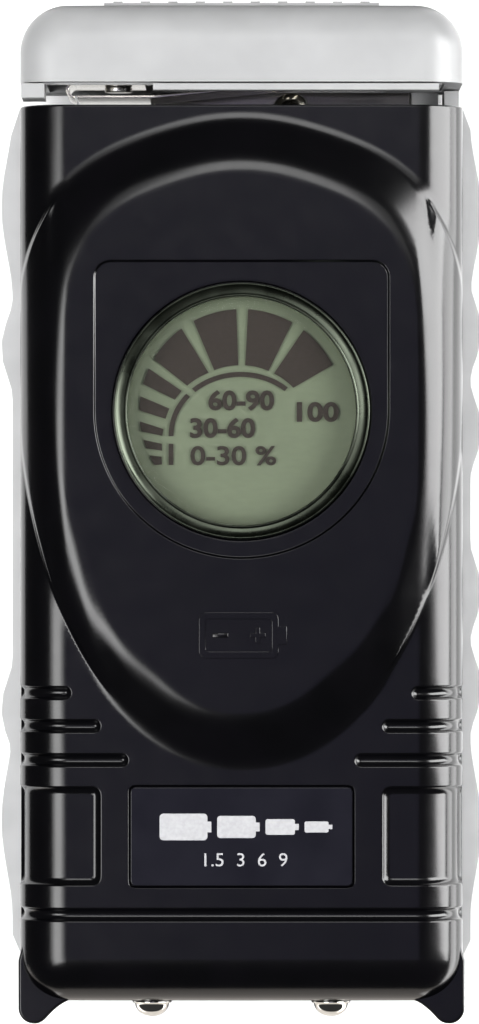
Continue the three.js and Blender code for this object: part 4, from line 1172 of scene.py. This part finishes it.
def aimed_box(name, polar, azimuth, reach, size, radiance, color=(1, 1, 1), roll=0):
    """A softbox aimed at the object: polar degrees from straight up, azimuth from +X towards +Y."""
    t, a = math.radians(polar), math.radians(azimuth)
    at = (reach * math.sin(t) * math.cos(a), reach * math.sin(t) * math.sin(a), reach * math.cos(t))
    obj = softbox(name, at, (0, 0, 0.02), size, radiance, color)
    rolled = obj.rotation_euler.to_matrix() @ Matrix.Rotation(math.radians(roll), 3, "Z")
    obj.rotation_euler = rolled.to_euler()
    return obj


def floor_card(name, x0, x1, y0, y1, height, radiance, color=(1, 1, 1)):
    """A low card that faces up and shows in reflections only, as the lit table does in steep sides."""
    at = ((x0 + x1) / 2, (y0 + y1) / 2, height)
    card = softbox(name, at, (at[0], at[1], 1), (x1 - x0, y1 - y0), radiance, color)
    card.visible_diffuse = False


floor()
right_box = aimed_box("right_box", 66, 12, 0.8, (0.50, 0.79), 12.5, roll=-26)
right_box.visible_diffuse = False
aimed_box("left_box", 27, 196, 0.8, (0.34, 0.24), 4.6)
aimed_box("left_halo", 27, 197, 0.79, (0.40, 0.42), 3.2)
aimed_box("head_box", 21, 86, 0.8, (0.22, 0.24), 3.6)
aimed_box("head_halo", 21, 82, 0.79, (0.52, 0.26), 0.9)
aimed_box("over_box", 0, 0, 1.6, (0.6, 0.6), 0.19, (0.86, 0.82, 1.35))
floor_card("right_near_card", 0.026, 0.060, -0.10, 0.10, 0.0006, 2.2)
floor_card("right_far_card", 0.060, 0.220, -0.10, 0.10, 0.0006, 6.5)
floor_card("left_near_card", -0.048, -0.026, -0.10, 0.10, 0.0006, 1.4)
floor_card("front_card", -0.06, 0.06, -0.60, -0.060, 0.0006, 0.9, (1.0, 0.93, 0.86))
floor_card("gap_card", -0.0235, -0.0100, 0.04435, 0.0464, 0.008, 0.9)
for name, azimuth, radiance in (("left_fill", 180, 10.0), ("right_fill", 0, 12.5)):
    fill = aimed_box(name, 42, azimuth, 0.9, (0.6, 0.5), radiance)
    fill.visible_glossy = False
world = bpy.data.worlds.new("studio")
world.use_nodes = True
world.node_tree.nodes["Background"].inputs["Color"].default_value = (1, 1, 1, 1)
world.node_tree.nodes["Background"].inputs["Strength"].default_value = 0.04
bpy.context.scene.world = world
bpy.context.scene.view_settings.view_transform = "Standard"

DISTANCE = 0.70  # from the face to the lens
FRAME_HEIGHT = 0.11117  # what the picture's height covers at the face
AIM = (-0.00022, -0.00005)  # the point that the lens is straight above
camera = bpy.data.cameras.new("camera")
camera.sensor_fit = "VERTICAL"
camera.sensor_height = 24
camera.lens = camera.sensor_height * DISTANCE / FRAME_HEIGHT
camera.clip_end = 10
eye = bpy.data.objects.new("camera", camera)
bpy.context.scene.collection.objects.link(eye)
eye.location = (*AIM, FACE * MM + DISTANCE)
bpy.context.scene.camera = eye

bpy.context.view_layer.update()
